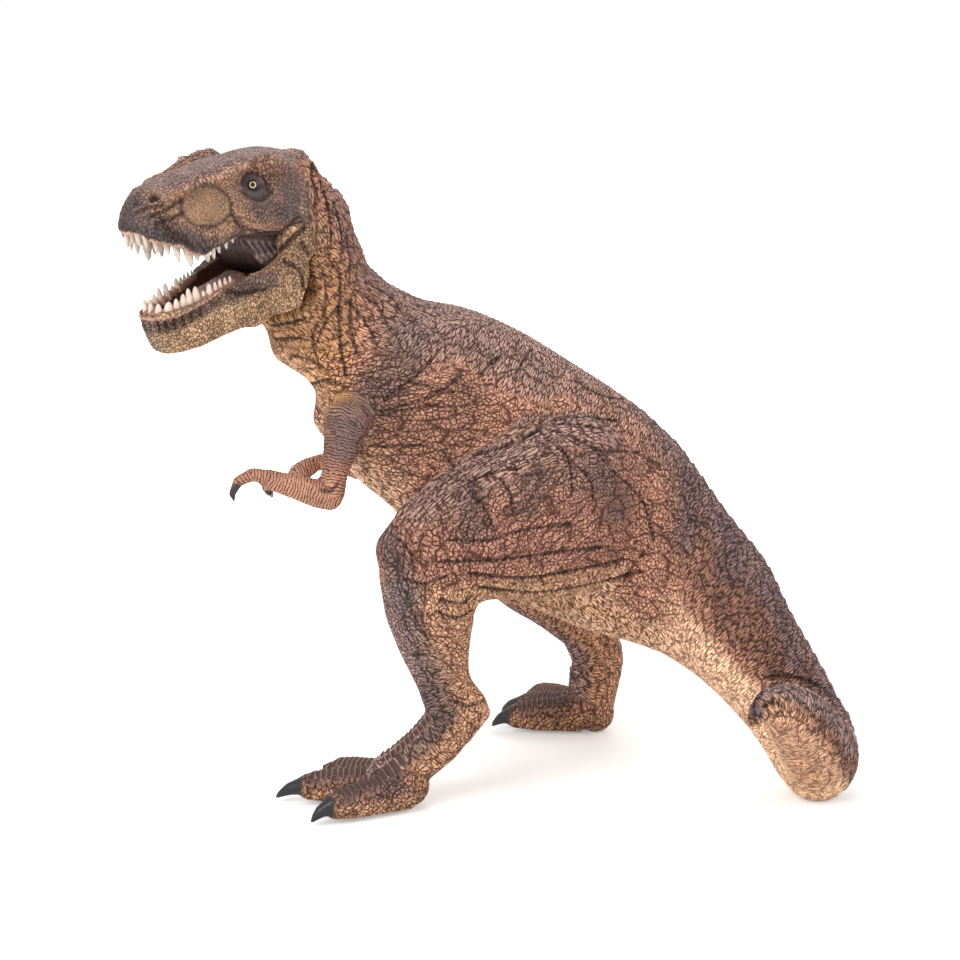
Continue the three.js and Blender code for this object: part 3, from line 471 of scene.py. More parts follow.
class Skin:
    """A dense closed skin, in millimetres, that is smoothed, sculpted and painted."""

    def __init__(
        self, solids: Dict[str, bpy.types.Object], nodes: Sequence[str], grow: float, voxel: float
    ) -> None:
        """Closes the solids of some CAD nodes into one skin.

        Args:
            solids: the CAD objects by name.
            nodes: the names of those it closes.
            grow: what each solid grows first, so that seams between them close.
            voxel: the size of the skin's faces.
        """
        joined = self.join(solids, nodes, grow)
        corners = [v.co / MM for v in joined.vertices]
        self.solid = BVHTree.FromPolygons(corners, [tuple(p.vertices) for p in joined.polygons])
        self.close(joined, voxel)
        count = len(self.co)
        self.degree = np.bincount(self.edges.ravel(), minlength=count).astype(float)
        self.lift = np.zeros(count)
        self.drag = np.zeros((count, 3))
        self.paint = np.zeros((count, 3))
        self.values: Dict[str, np.ndarray] = {}
        LOG.info("skin of %s: %d faces", ", ".join(nodes), len(self.faces))

    def join(
        self, solids: Dict[str, bpy.types.Object], nodes: Sequence[str], grow: float
    ) -> bpy.types.Mesh:
        """Joins the grown solids in one mesh, and notes whose each face is."""
        source = bmesh.new()
        self.owner: List[int] = []
        for index, name in enumerate(nodes):
            part = bmesh.new()
            part.from_mesh(solids[name].data)
            bmesh.ops.remove_doubles(part, verts=part.verts, dist=1e-6)
            bmesh.ops.triangulate(part, faces=part.faces)
            part.normal_update()
            for vert in part.verts:
                vert.co += vert.normal * grow * MM
            scratch = bpy.data.meshes.new("scratch")
            part.to_mesh(scratch)
            self.owner += [index] * len(part.faces)
            source.from_mesh(scratch)
            part.free()
            bpy.data.meshes.remove(scratch)
        mesh = bpy.data.meshes.new("skin")
        source.to_mesh(mesh)
        source.free()
        return mesh

    def close(self, mesh: bpy.types.Mesh, voxel: float) -> None:
        """Closes a mesh into one skin of even faces, and reads its points, faces and edges."""
        work = add_object("skin", mesh)
        modifier = work.modifiers.new("close", "REMESH")
        modifier.mode = "VOXEL"
        modifier.voxel_size = voxel * MM
        modifier.adaptivity = 0
        graph = bpy.context.evaluated_depsgraph_get()
        fine = bpy.data.meshes.new_from_object(work.evaluated_get(graph))
        bpy.data.objects.remove(work)
        self.co = np.empty(len(fine.vertices) * 3)
        fine.vertices.foreach_get("co", self.co)
        self.co = self.co.reshape(-1, 3) / MM
        corners = np.empty(len(fine.loops), np.int64)
        fine.loops.foreach_get("vertex_index", corners)
        self.faces = corners.reshape(-1, 4)
        self.edges = np.empty(len(fine.edges) * 2, np.int64)
        fine.edges.foreach_get("vertices", self.edges)
        self.edges = self.edges.reshape(-1, 2)
        bpy.data.meshes.remove(fine)

    def around(self, values: np.ndarray) -> np.ndarray:
        """Returns the mean of each point's neighbours."""
        a, b = self.edges.T
        count = len(self.co)
        if values.ndim == 1:
            total = np.bincount(a, values[b], count) + np.bincount(b, values[a], count)
            return total / self.degree
        return np.stack([self.around(values[:, k]) for k in range(values.shape[1])], 1)

    def relax(self, weight: np.ndarray, rounds: int) -> None:
        """Smooths the shape where the weight is above zero."""
        pull = 0.5 * weight[:, None]
        for _ in range(rounds):
            self.co += pull * (self.around(self.co) - self.co)

    def normals(self) -> np.ndarray:
        """Returns the normal at each point."""
        a, b, c, d = (self.co[self.faces[:, k]] for k in range(4))
        faces = np.cross(c - a, d - b)
        total = np.zeros_like(self.co)
        for k in range(4):
            for axis in range(3):
                total[:, axis] += np.bincount(self.faces[:, k], faces[:, axis], len(self.co))
        return total / np.maximum(np.linalg.norm(total, axis=1, keepdims=True), 1e-12)

    def labels(self, centres: np.ndarray) -> np.ndarray:
        """Returns the index of the CAD node nearest to each place."""
        owner = np.array(self.owner)
        return owner[[self.solid.find_nearest(p)[2] for p in centres.tolist()]]

    def press(self) -> None:
        """Moves every point by what the strokes lift it."""
        self.co += self.normals() * self.lift[:, None] + self.drag
        self.lift[:] = 0
        self.drag[:] = 0

    def work(self, stroke: Stroke, path: np.ndarray, normals: np.ndarray, facing: np.ndarray) -> None:
        """Sculpts and paints along one line on the skin.

        Args:
            stroke: how the line looks.
            path: its points.
            normals: the skin's normals there.
            facing: the normal at each point of the skin.
        """
        reach = stroke.width * (3.0 if stroke.rim else 2.2)
        low, high = path.min(0) - reach, path.max(0) + reach
        near = np.flatnonzero(np.all((self.co > low) & (self.co < high), axis=1))
        if not len(near):
            return
        toward = normals.mean(0)
        near = near[facing[near] @ (toward / max(np.linalg.norm(toward), 1e-9)) > -0.1]
        far = distance_to_path(self.co[near], path) / stroke.width
        shape = np.exp(-far * far)
        if stroke.rim:
            shape = shape - stroke.rim * np.exp(-((far - 1.6) ** 2) * 2)
        self.lift[near] += stroke.lift * shape
        self.drag[near] += np.outer(shape, stroke.pull)
        if stroke.colour is not None:
            cover = (stroke.cover * (1 - ease(far, 1 - stroke.soft, 1 + stroke.soft)))[:, None]
            self.paint[near] += cover * (np.array(linear(stroke.colour)) - self.paint[near])
            if stroke.gloss and "gloss" in self.values:
                gloss = self.values["gloss"]
                gloss[near] += cover[:, 0] * (stroke.gloss - gloss[near])
            for name in PATTERNS:
                self.values[name][near] *= 1 - stroke.plain * cover[:, 0]

    def draw(self, strokes: Sequence[Stroke], pencil: Pencil, mirror: Mirror) -> None:
        """Works strokes into the skin, and their mirror images on the far side."""
        facing = self.normals()
        for stroke in strokes:
            path, normals = pencil.trace(stroke.path)
            if not len(path):
                LOG.warning("a stroke from %s misses the skin", stroke.path[0])
                continue
            self.work(stroke, path, normals, facing)
            if mirror is not Mirror.NONE:
                path, normals = pencil.settle(mirror.flip(path))
                self.work(stroke, path, normals, facing)

    def shed(self, name: str, keep: np.ndarray, material: bpy.types.Material) -> bpy.types.Object:
        """Makes a closed piece of some of the faces.

        Args:
            name: the piece's name.
            keep: which faces it has.
            material: its finish.

        Returns:
            The piece, in metres.
        """
        faces = self.faces[keep]
        used, local = np.unique(faces, return_inverse=True)
        local = local.reshape(faces.shape)
        mesh = bpy.data.meshes.new(name)
        mesh.from_pydata((self.co[used] * MM).tolist(), [], local.tolist())
        for label, values in {**self.values, "paint": self.paint}.items():
            self.store(mesh, label, values[used])
        self.cap(mesh)
        self.share_normals(mesh, self.normals()[used], len(faces))
        mesh.materials.append(material)
        piece = add_object(name, mesh)
        LOG.info("%s: %d faces", name, len(mesh.polygons))
        return piece

    @staticmethod
    def cap(mesh: bpy.types.Mesh) -> None:
        """Closes the open rims of a piece."""
        whole = bmesh.new()
        whole.from_mesh(mesh)
        rim = [e for e in whole.edges if e.is_boundary]
        if rim:
            bmesh.ops.holes_fill(whole, edges=rim, sides=0)
            caps = [f for f in whole.faces if len(f.verts) > 4]
            bmesh.ops.triangulate(whole, faces=caps)
        whole.to_mesh(mesh)
        whole.free()

    @staticmethod
    def share_normals(mesh: bpy.types.Mesh, normals: np.ndarray, count: int) -> None:
        """Gives a piece the whole skin's normals, so that its shading runs on over the seams.

        Args:
            mesh: the piece's mesh.
            normals: the skin's normal at each of its points.
            count: how many faces are skin; those after them close its rims and keep their own.
        """
        mesh.shade_smooth()
        corners = np.empty(len(mesh.loops), np.int64)
        mesh.loops.foreach_get("vertex_index", corners)
        split = normals[corners]
        for polygon in mesh.polygons[count:]:
            for loop in polygon.loop_indices:
                split[loop] = polygon.normal
        mesh.normals_split_custom_set(split.tolist())

    @staticmethod
    def store(mesh: bpy.types.Mesh, label: str, values: np.ndarray) -> None:
        """Keeps values of the points in the mesh, as numbers, vectors or a colour."""
        if label == "paint":
            attribute = mesh.attributes.new(label, "FLOAT_COLOR", "POINT")
            full = np.ones((len(values), 4), np.float32)
            full[:, :3] = np.clip(values, 0, 1)
            attribute.data.foreach_set("color", full.ravel())
        elif values.ndim == 2:
            attribute = mesh.attributes.new(label, "FLOAT_VECTOR", "POINT")
            attribute.data.foreach_set("vector", values.astype(np.float32).ravel())
        else:
            attribute = mesh.attributes.new(label, "FLOAT", "POINT")
            attribute.data.foreach_set("value", values.astype(np.float32))


@dataclass(frozen=True)
class Guide:
    """A line inside a limb, in millimetres, along which the hide's pattern runs."""

    points: Tuple[Point, ...]
    start: float = 0.0

    def unbend(self, co: np.ndarray) -> Tuple[np.ndarray, np.ndarray]:
        """Straightens places along the guide.

        Args:
            co: the places.

        Returns:
            The run along the guide with the two offsets from it, and the distance from it.
        """
        path = smooth_path(self.points, 3.0)
        best = np.full(len(co), np.inf)
        flow = np.zeros((len(co), 3))
        run = self.start
        side = np.cross(path[1] - path[0], (0.0, 0.0, 1.0))
        for a, b in zip(path[:-1], path[1:]):
            line = b - a
            length = np.linalg.norm(line)
            line /= length
            side = side - line * (side @ line)
            side /= np.linalg.norm(side)
            crown = np.cross(side, line)
            offset = co - a
            along = offset @ line
            share = np.clip(along, 0, length)
            far = np.linalg.norm(offset - share[:, None] * line, axis=1)
            closer = far < best
            best[closer] = far[closer]
            found = np.stack([run + along, offset @ side, offset @ crown], 1)
            flow[closer] = found[closer]
            run += length
        return flow, best


def unroll(flow: np.ndarray) -> np.ndarray:
    """Lays places round a guide flat: how far along it and how far round, in millimetres."""
    run, side, up = flow.T
    if not len(run):
        return flow
    low = run.min()
    cell = ((run - low) / 5).astype(int)
    count = np.bincount(cell)
    mean = np.bincount(cell, np.hypot(side, up)) / np.maximum(count, 1)
    full = np.flatnonzero(count)
    wide = np.interp(run, low + 5 * full + 2.5, mean[full])
    return np.stack([run, np.arctan2(side, up) * wide, np.zeros(len(run))], 1)


@dataclass(frozen=True)
class Hide:
    """Painted vinyl skin with scales, beads and wrinkles.

    Attributes:
        name: the finish's name.
        cell: width of the polygon scales, in millimetres.
        bar: spacing of the wrinkles across a limb.
        line: spacing of the fine lines along the belly.
        bead: width of the small beads.
        ring: spacing of the even rings round an arm.
        cell_gap: half width of the crevices between scales.
        bar_gap: half width of those across a limb.
        line_gap: half width of those along the belly.
        bead_gap: half width of those between beads.
        shade: what the crevices' paint is multiplied by; partly the figure's dark wash, partly painted
            shade.
        pale: what the tops' paint is multiplied by; partly dry-brushed paint, partly painted highlight.
    """

    name: str
    cell: float = 1.05
    bar: float = 0.62
    line: float = 0.7
    bead: float = 0.8
    ring: float = 0.75
    cell_gap: float = 0.14
    bar_gap: float = 0.1
    line_gap: float = 0.11
    bead_gap: float = 0.12
    shade: Point = (0.24, 0.13, 0.1)
    pale: Point = (1.85, 1.9, 1.9)

    def height(self, n: Nodes, crevice: float, fine: float) -> Sock:
        """Works out how high the hide stands at a place, from 0 in a crevice to 1 on a scale.

        Args:
            n: the tree, of a shader or of geometry.
            crevice: the share of its width that a crevice has.
            fine: how deep the finer cracks on the scales are.

        Returns:
            The height.
        """
        rest = n.attribute("rest", "FLOAT_VECTOR")
        flow = n.attribute("flow", "FLOAT_VECTOR")
        swirl = n.add("ShaderNodeTexNoise", {"Vector": rest, "Scale": 0.07, "Detail": 1.0}, "Color")
        wander = n.add("ShaderNodeTexNoise", {"Vector": rest, "Scale": 0.36, "Detail": 1.0}, "Color")
        bent = n.shift(n.shift(flow, wander, (1.3, 1.3, 0)), swirl, (5, 5, 0))
        slight = n.shift(flow, wander, (0.75, 0.9, 0))
        even = n.shift(rest, wander, (1, 1, 1))
        slant = n.add("ShaderNodeVectorRotate", {"Vector": bent, "Axis": (0, 0, 1), "Angle": 0.62})
        cell, bar, line, bead = self.cell, self.bar, self.line, self.bead
        patterns = (
            ("scales", bent, (1 / cell, 0.85 / cell, 0), self.cell_gap / cell),
            ("scales", slant, (0.1, 0.36, 0), 0.07),
            ("cross", slight, (1 / bar, 0.2 / bar, 0), self.bar_gap / bar),
            ("cross", slant, (0.3, 0.12, 0), 0.05),
            ("along", slight, (0.2 / line, 1 / line, 0), self.line_gap / line),
            ("along", bent, (0.3, 0.2, 0), 0.05),
            ("beads", even, (1 / bead, 1 / bead, 0.9 / bead), self.bead_gap / bead),
        )
        broken = n.step(n.noise(rest, 1.15, 1.0), 0.36, 0.5, 0.3, 1.0)
        height: Optional[Sock] = None
        for name, vector, shares, width in patterns:
            weight = n.attribute(name, "FLOAT") * broken
            cells = n.edges(n.stretch(vector, shares), name != "beads")
            level = 1 - weight * (1 - n.step(cells, 0.3 * width, crevice * width))
            height = level if height is None else n.math("MINIMUM", height, level)
        crack = n.math("ABSOLUTE", n.noise(n.stretch(bent, (1.0, 1.2, 1.0)), 0.7, 1.0) - 0.5)
        crack = 1 - fine * (1 - n.step(crack, 0.0, 0.025)) * n.attribute("scales", "FLOAT")
        run = n.add("ShaderNodeSeparateXYZ", {0: slight}, out=0)
        wave = n.math("SINE", run * (2 * math.pi / self.ring) + n.noise(rest, 0.5, 1.0) * 9)
        wave = n.step(wave, -0.98, 0.2 * crevice - 0.6)
        bars = 1 - n.attribute("bars", "FLOAT") * broken * (1 - wave)
        return n.math("MINIMUM", n.math("MINIMUM", height, crack), bars)

    def emboss(self, piece: bpy.types.Object) -> None:
        """Presses the pattern into a piece's mesh, with Geometry Nodes."""
        recipe = Recipe(self.name + "_relief", {"Depth": MM})
        n = recipe.nodes
        geometry, depth = recipe.given
        lumps = n.noise(n.attribute("rest", "FLOAT_VECTOR"), 1.1, 3.0) - 0.5
        lumps = lumps * n.step(n.attribute("depth", "FLOAT"), 0.0, 0.1)
        level = (self.height(n, 1.6, 0.4) - 0.75) * n.attribute("depth", "FLOAT") + lumps * 0.1
        normal = n.add("GeometryNodeInputNormal")
        push = n.add("ShaderNodeVectorMath", {0: normal, "Scale": level * depth}, operation="SCALE")
        moved = n.add("GeometryNodeSetPosition", {"Geometry": geometry, "Offset": push})
        dressed = n.add("GeometryNodeSetMaterial", {"Geometry": moved, "Material": self.material()})
        recipe.run(piece, dressed)

    def material(self) -> bpy.types.Material:
        """Returns the finish as a material, made once."""
        known = bpy.data.materials.get(self.name)
        if known:
            return known
        material, n = new_finish(self.name)
        rest = n.attribute("rest", "FLOAT_VECTOR")
        paint = n.attribute("paint", "COLOR")
        gloss = n.attribute("gloss", "FLOAT")
        mottle = n.noise(rest, 0.22, 4.0)
        grain = n.noise(rest, 2.4, 2.0)
        height = self.height(n, 1.0, 0.45)
        tone = n.step(mottle, 0.3, 0.7, 0.84, 1.16) * n.step(grain, 0.25, 0.75, 0.92, 1.08)
        base = n.add("ShaderNodeVectorMath", {0: paint, "Scale": tone}, operation="SCALE")
        # Crevices are painted darker and scale tops paler: partly the figure's dark wash and dry-brushed
        # paint, partly painted shade and painted highlight.
        dark = n.stretch(base, self.shade)
        light = n.stretch(base, self.pale)
        dry_brush_and_highlight = self.height(n, 1.9, 0.6) * n.step(grain, 0.3, 0.6, 0.5, 1.0) * (1 - gloss)
        colour = n.mix(height, dark, n.mix(n.step(dry_brush_and_highlight, 0.4, 1.0), base, light))
        surface = n.add(
            "ShaderNodeBump",
            {"Strength": 0.9, "Distance": 0.00035, "Height": height + grain * 0.2},
        )
        rough = 0.58 + grain * 0.14 - gloss * 0.36
        shader = n.add(
            "ShaderNodeBsdfPrincipled",
            {
                "Base Color": colour,
                "Roughness": rough,
                "Normal": surface,
                "Specular IOR Level": 0.42,
            },
        )
        n.add("ShaderNodeOutputMaterial", {"Surface": shader})
        return material


PACK_SHIFT = np.array((-3.395, BODY_MIDDLE, 0.0))


def shifted(points: Sequence[Point]) -> Tuple[Point, ...]:
    """Returns points of the source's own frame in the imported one, which lies beside it."""
    return tuple(tuple(np.array(p) + PACK_SHIFT) for p in points)


SPINE_POINTS = (
    (-50, 0, 152), (-43, 0, 135.5), (-33, 0, 120), (-18.5, 0, 105.5), (-2, 0, 92.5),
    (18, 0, 78.5), (38, -2, 64.5), (54, -9, 52.2), (68, -17.75, 38.4), (80, -25, 22.3),
    (85.3, -32, 10), (85.3, -36.5, 9.5), (79.5, -45.5, 20.3), (70, -51.75, 29.8),
    (62.6, -53.5, 26),
)
SPINE = Guide(shifted(SPINE_POINTS))
NEAR_LEG_POINTS = (
    (27, -18, 75), (15, -23, 74), (2, -26, 70), (-8, -27, 63), (-14, -27.5, 53),
    (-12.8, -27, 41.5), (-10.6, -27, 32), (-7, -27, 23), (-15, -27, 14.2), (-26.5, -26.75, 6),
)
NEAR_LEG = Guide(shifted(NEAR_LEG_POINTS))
FAR_LEG_POINTS = (
    (29, 17, 74), (20, 21, 70), (9, 25, 62), (8, 27, 55), (21.5, 27, 45), (30, 27, 37),
    (36, 27, 29.5), (40, 27, 20), (38, 28, 10), (36, 29, 5),
)
FAR_LEG = Guide(shifted(FAR_LEG_POINTS))
NEAR_TOES = tuple(
    Guide(shifted(line), 120)
    for line in (
        ((-20, -30, 5), (-39.5, -37.75, 4), (-48, -41, 2)),
        ((-22, -26.5, 5), (-45, -22, 4), (-55, -20, 2)),
        ((-21, -24.5, 5), (-38.5, -11, 4), (-46, -5, 2)),
    )
)
FAR_TOES = tuple(
    Guide(shifted(line), 120)
    for line in (
        ((35, 26.5, 5), (16.5, 30.1, 4), (8, 31.5, 2)),
        ((35, 28.5, 5), (21.5, 40, 4), (15, 47, 2)),
        ((36, 30.5, 5), (26.8, 49, 4), (22, 57, 2)),
    )
)
NEAR_ARM = (
    Guide(shifted(((-30, -13, 101), (-34, -19, 97), (-37, -21.5, 86), (-38, -22, 80.5)))),
    Guide(shifted(((-38, -22, 80), (-48, -22.6, 82.8), (-57.5, -23.8, 86.2), (-62.7, -24.6, 81.4))), 25),
)
FAR_ARM = (
    Guide(shifted(((-30, 13, 101), (-31, 19, 97), (-29, 21.5, 86), (-26.8, 22, 79.5)))),
    Guide(shifted(((-26.8, 22, 79), (-37, 21, 80.3), (-44.2, 20.7, 78.2), (-46.8, 20.8, 72.5))), 25),
)
HEAD_LINE = Guide(
    (
        tuple(np.array(HINGE) + HEAD_BACK * 9 + (0, 0, 9)),
        tuple(np.array(HINGE) - HEAD_BACK * 40 + (0, 0, 6)),
    )
)


def ring(centre: Pixel, radii: Pixel, turn: float = 0.0, count: int = 14) -> Tuple[Pixel, ...]:
    """Returns the pixels of a closed ellipse."""
    angles = np.linspace(0, 2 * math.pi, count + 1)
    c, s = math.cos(math.radians(turn)), math.sin(math.radians(turn))
    x, y = radii[0] * np.cos(angles), radii[1] * np.sin(angles)
    return tuple(zip((centre[0] + c * x - s * y).tolist(), (centre[1] + s * x + c * y).tolist()))


def dab(
    path: Tuple[Pixel, ...], width: float, colour: Colour, cover: float = 1.0, soft: float = 0.6
) -> Stroke:
    """Returns a stroke of paint alone."""
    return Stroke(path, width, colour=colour, cover=cover, soft=soft)


def fold(path: Tuple[Pixel, ...], depth: float = 0.5, width: float = 0.45) -> Stroke:
    """Returns a groove with raised edges, painted darker in its depth: partly dark wash, partly painted
    shade.
    """
    return Stroke(path, width, -depth, 0.45, FOLD_WASH_AND_SHADE, 0.8, 0.45)


def folds(depth: float, width: float, *paths: Tuple[Pixel, ...]) -> Tuple[Stroke, ...]:
    """Returns grooves of one depth and width."""
    return tuple(fold(path, depth, width) for path in paths)


def ridge(
    path: Tuple[Pixel, ...], width: float, lift: float, colour: Colour, cover: float, plain: float = 0.0
) -> Stroke:
    """Returns a raised line, or a groove without raised edges, in a paint of its own."""
    return Stroke(path, width, lift, colour=colour, cover=cover, plain=plain)


CHARCOAL: Colour = (76, 65, 66)
PINK_EDGE: Colour = (198, 160, 138)
SNOUT_CREST: Tuple[Pixel, ...] = ((186, 196), (189, 189), (198, 185), (213, 181), (230, 174), (246, 169))
SNOUT_SPOTS = 4.6
HEAD_STROKES = (
    dab(((150, 173), (180, 163), (215, 158), (255, 153)), 4.6, (146, 122, 114), 0.6),
    dab(((186, 196), (215, 181), (240, 171), (262, 160)), 2.4, (152, 108, 80), 0.55),
    dab(((162, 204), (176, 222), (212, 236), (240, 226)), 3.2, (166, 126, 98), 0.5),
    dab(((232, 205), (236, 222), (262, 230), (290, 226)), 2.6, (158, 118, 94), 0.55),
    dab(((126, 208), (128, 224), (144, 236)), 4.2, (88, 74, 73), 0.8),
    dab(((150, 224), (172, 236), (200, 244)), 2.6, (88, 74, 72), 0.8),
    dab(((123, 226), (160, 235), (200, 242), (222, 241), (240, 235)), 1.6, CHARCOAL, 0.8),
    dab(((284, 180), (297, 194), (300, 214)), 4.4, (92, 78, 77), 0.9),
    dab(((262, 208), (282, 212)), 3.0, (90, 76, 75), 0.7),
    dab(((290, 172), (305, 200), (308, 222)), 2.0, (128, 98, 86), 0.5),
    Stroke(((123, 227), (136, 230)), 1.6, pull=(0.0, 0.0, -0.4)),
    Stroke(((150, 234), (165, 237), (185, 242), (205, 243)), 1.7, pull=(0.0, 0.0, -1.5)),
    Stroke(((192, 242), (208, 243), (222, 239)), 1.6, pull=(0.0, 0.0, -1.3)),
    Stroke(((202, 207), (211, 206)), 4.9, 0.3, 0, (140, 108, 84), 1.0, 0.12, plain=0.55),
    Stroke(ring((206.5, 206.8), (25, 20.5)), 0.42, -0.4, 0.3, (84, 60, 50), 0.8),
    Stroke(((174, 196), (190, 188), (207, 182), (229, 174), (246, 169)), 1.1, 0.95),
    Stroke(((184, 200), (206, 189), (230, 180), (244, 176)), 1.1, -0.35),
    ridge(((228, 169), (236, 168), (244, 169)), 0.5, 0.35, (206, 166, 146), 0.8),
    Stroke(
        ((246, 169), (255, 163), (263, 158), (272, 157), (279, 161), (281, 170)), 1.5, 0.3, pull=(0, 0, 0.55)
    ),
    dab(((248, 170), (262, 162), (276, 164), (280, 174)), 2.6, (134, 98, 82), 0.7),
    *(
        ridge((spot,), 0.7, 0.3, (182, 142, 122), 0.7)
        for spot in ((254, 164), (261, 159), (267, 157), (273, 158), (279, 162), (270, 163))
    ),
    ridge(((266, 172), (272, 180), (277, 192)), 0.8, 0.6, (140, 108, 96), 0.7),
    *(
        ridge((spot,), 0.6, 0.5, (184, 144, 124), 0.6)
        for spot in smooth_path(SNOUT_CREST, SNOUT_SPOTS).tolist()
    ),
    Stroke(((254, 187), (262, 195)), 3.1, -1.6, 0.2, (64, 54, 56), 0.95, 0.25, plain=0.9),
    fold(((243, 184), (246, 177), (254, 174), (264, 178), (271, 192)), 0.5, 0.45),
    ridge(((246, 190), (252, 195), (260, 196), (266, 191)), 0.4, 0.3, (92, 78, 76), 0.7),
    ridge(((245, 196), (254, 202), (266, 203), (274, 196)), 0.45, 0.35, (108, 90, 84), 0.7),
    fold(((243, 192), (252, 199), (264, 200), (272, 193)), 0.3, 0.35),
    Stroke(((151, 199), (157, 196)), 1.15, -1.6, 0.3, (66, 44, 40), 1.0, 0.3, plain=0.8),
    ridge(ring((154, 198), (8.5, 6)), 0.5, 0.4, (164, 132, 114), 0.6),
    fold(((137, 212), (150, 208), (162, 206)), 0.35, 0.5),
    fold(((150, 217), (166, 210), (181, 200)), 0.4, 0.5),
    fold(((156, 224), (172, 219), (184, 212)), 0.3, 0.5),
    fold(((313, 160), (312, 175), (316, 195), (314, 212)), 0.6, 0.7),
    fold(((160, 218), (172, 232), (192, 239)), 0.3, 0.6),
    fold(((232, 214), (240, 226), (262, 233)), 0.35, 0.5),
    fold(((270, 236), (285, 228), (300, 216)), 0.3, 0.5),
    ridge(((286, 164), (300, 170), (307, 180), (310, 196)), 0.6, 0.55, (168, 132, 116), 0.7),
    *(
        ridge(((301, y), (308, y + 2.5)), 0.38, 0.3, (172, 138, 122), 0.8)
        for y in (178, 183, 188, 193, 198, 203, 208, 213)
    ),
    ridge(((238, 239), (262, 246), (280, 243), (293, 233), (306, 221)), 0.7, 0.45, (176, 136, 114), 0.6),
    ridge(
        ((122, 229), (145, 233.5), (171, 239), (202, 244), (220, 243), (238, 238)),
        *(0.4, 0.25, PINK_EDGE, 0.9, 0.8),
    ),
)
BODY_STROKES = (
    # Paler paint on the throat behind and under the jaw: partly its tan, partly painted light that lifts the
    # jaw's shadow there.
    dab(((306, 312), (318, 296), (322, 262), (320, 232)), 2.4, (172, 136, 106), 0.8),
    ridge(((266, 317), (284, 314), (302, 309)), 3.4, 1.3, (198, 156, 112), 0.8),
    dab(((324, 270), (330, 300), (332, 350)), 6.0, (184, 134, 92), 0.75),
    dab(((292, 330), (318, 380), (340, 400)), 5.0, (190, 142, 94), 0.6),
    dab(((345, 220), (372, 276), (420, 300)), 5.0, (130, 100, 94), 0.6),
    dab(((404, 335), (398, 370), (372, 395)), 6.0, (96, 78, 74), 0.7),
    dab(((420, 330), (480, 345), (540, 375)), 6.0, (140, 114, 106), 0.45),
    dab(((466, 405), (440, 430)), 7.0, (112, 78, 62), 0.45),
    dab(((400, 455), (390, 425)), 5.0, (112, 78, 62), 0.45),
    fold(((336, 262), (341, 277), (339, 318), (341, 348), (346, 376)), 0.6, 0.42),
    fold(((322, 268), (326, 292), (322, 320)), 0.3, 0.38),
    fold(((318, 322), (312, 340), (318, 362)), 0.3, 0.38),
    fold(((338, 306), (326, 322), (316, 344)), 0.3, 0.36),
    fold(((350, 300), (352, 330), (358, 358)), 0.3, 0.38),
    *folds(
        0.35,
        0.4,
        ((274, 324), (292, 322), (306, 318)),
        ((276, 339), (292, 338), (308, 340)),
        ((290, 357), (304, 358), (320, 366)),
        ((312, 384), (326, 380), (340, 384)),
    ),
    *folds(
        0.3,
        0.38,
        ((334, 200), (341, 232), (342, 258)),
        ((324, 192), (331, 222), (331, 248)),
        ((346, 236), (350, 262), (349, 286)),
        ((316, 172), (324, 190), (327, 206)),
    ),
    fold(((328, 250), (330, 262), (338, 272)), 0.35, 0.38),
    *folds(
        0.34,
        0.41,
        ((356, 290), (378, 306), (390, 330)),
        ((366, 282), (392, 298), (404, 316)),
        ((346, 300), (366, 322), (376, 344)),
    ),
    fold(((384, 400), (396, 390), (418, 374), (440, 350)), 0.51, 0.41),
    fold(((381, 412), (410, 403), (436, 393), (462, 376)), 0.42, 0.41),
    fold(((380, 416), (410, 409), (440, 404)), 0.42, 0.41),
    fold(((382, 447), (402, 445), (430, 446)), 0.34, 0.41),
    fold(((414, 382), (434, 388), (454, 392)), 0.42, 0.38),
    fold(((480, 376), (490, 364), (500, 356)), 0.34, 0.41),
    fold(((514, 378), (524, 360), (532, 348)), 0.34, 0.41),
    Stroke(((428, 470), (480, 432), (512, 400)), 7.0, 0.5),
    Stroke(((410, 524), (450, 490), (500, 468), (550, 450)), 6.0, 1.5),
    fold(((543, 424), (534, 434), (509, 447), (474, 459), (450, 474), (424, 493), (402, 512)), 1.1, 0.8),
    # Painted highlight along the top of the hip fold.
    ridge(((546, 412), (534, 426), (516, 440)), 0.8, 0.3, (184, 140, 104), 0.4),
    fold(((444, 452), (450, 462), (456, 468)), 0.42, 0.41),
)
THIGH_STROKES = (
    dab(((440, 500), (490, 476), (540, 462), (580, 470)), 6.0, (136, 108, 100), 0.5),
    dab(((598, 464), (612, 490), (620, 506)), 5.0, (98, 76, 70), 0.65),
    dab(((534, 484), (528, 502)), 4.2, (102, 80, 72), 0.6),
    dab(((470, 504), (474, 528)), 4.2, (102, 80, 74), 0.6),
    dab(((640, 400), (668, 440), (690, 470)), 4.0, (138, 114, 108), 0.45),
    dab(((490, 602), (540, 602), (600, 612), (640, 634)), 2.0, (204, 156, 114), 0.5),
    fold(((546, 424), (566, 418), (590, 417), (616, 421)), 0.59, 0.41),
    fold(((544, 427), (572, 424), (604, 430), (624, 444)), 0.77, 0.48),
    fold(((542, 430), (566, 436), (590, 446), (606, 462)), 0.68, 0.48),
    fold(((540, 434), (558, 448), (570, 468), (572, 496)), 0.59, 0.41),
    fold(((548, 444), (572, 462), (590, 480), (594, 500)), 0.51, 0.41),
    *folds(
        0.42,
        0.41,
        ((500, 480), (510, 494), (514, 512)),
        ((471, 494), (486, 510), (494, 532)),
        ((472, 484), (496, 474), (520, 470)),
        ((450, 540), (490, 540), (524, 530), (570, 524)),
    ),
    fold(((440, 562), (500, 560), (560, 552), (600, 548)), 0.51, 0.48),
    fold(((470, 574), (520, 578), (566, 572), (622, 560)), 0.77, 0.54),
    fold(((480, 588), (540, 592), (600, 582), (640, 572)), 0.59, 0.54),
    fold(((612, 470), (642, 500), (654, 540)), 0.42, 0.48),
    fold(((602, 452), (634, 452), (660, 466)), 0.42, 0.48),
    fold(((575, 380), (604, 396), (640, 400)), 0.34, 0.48),
)
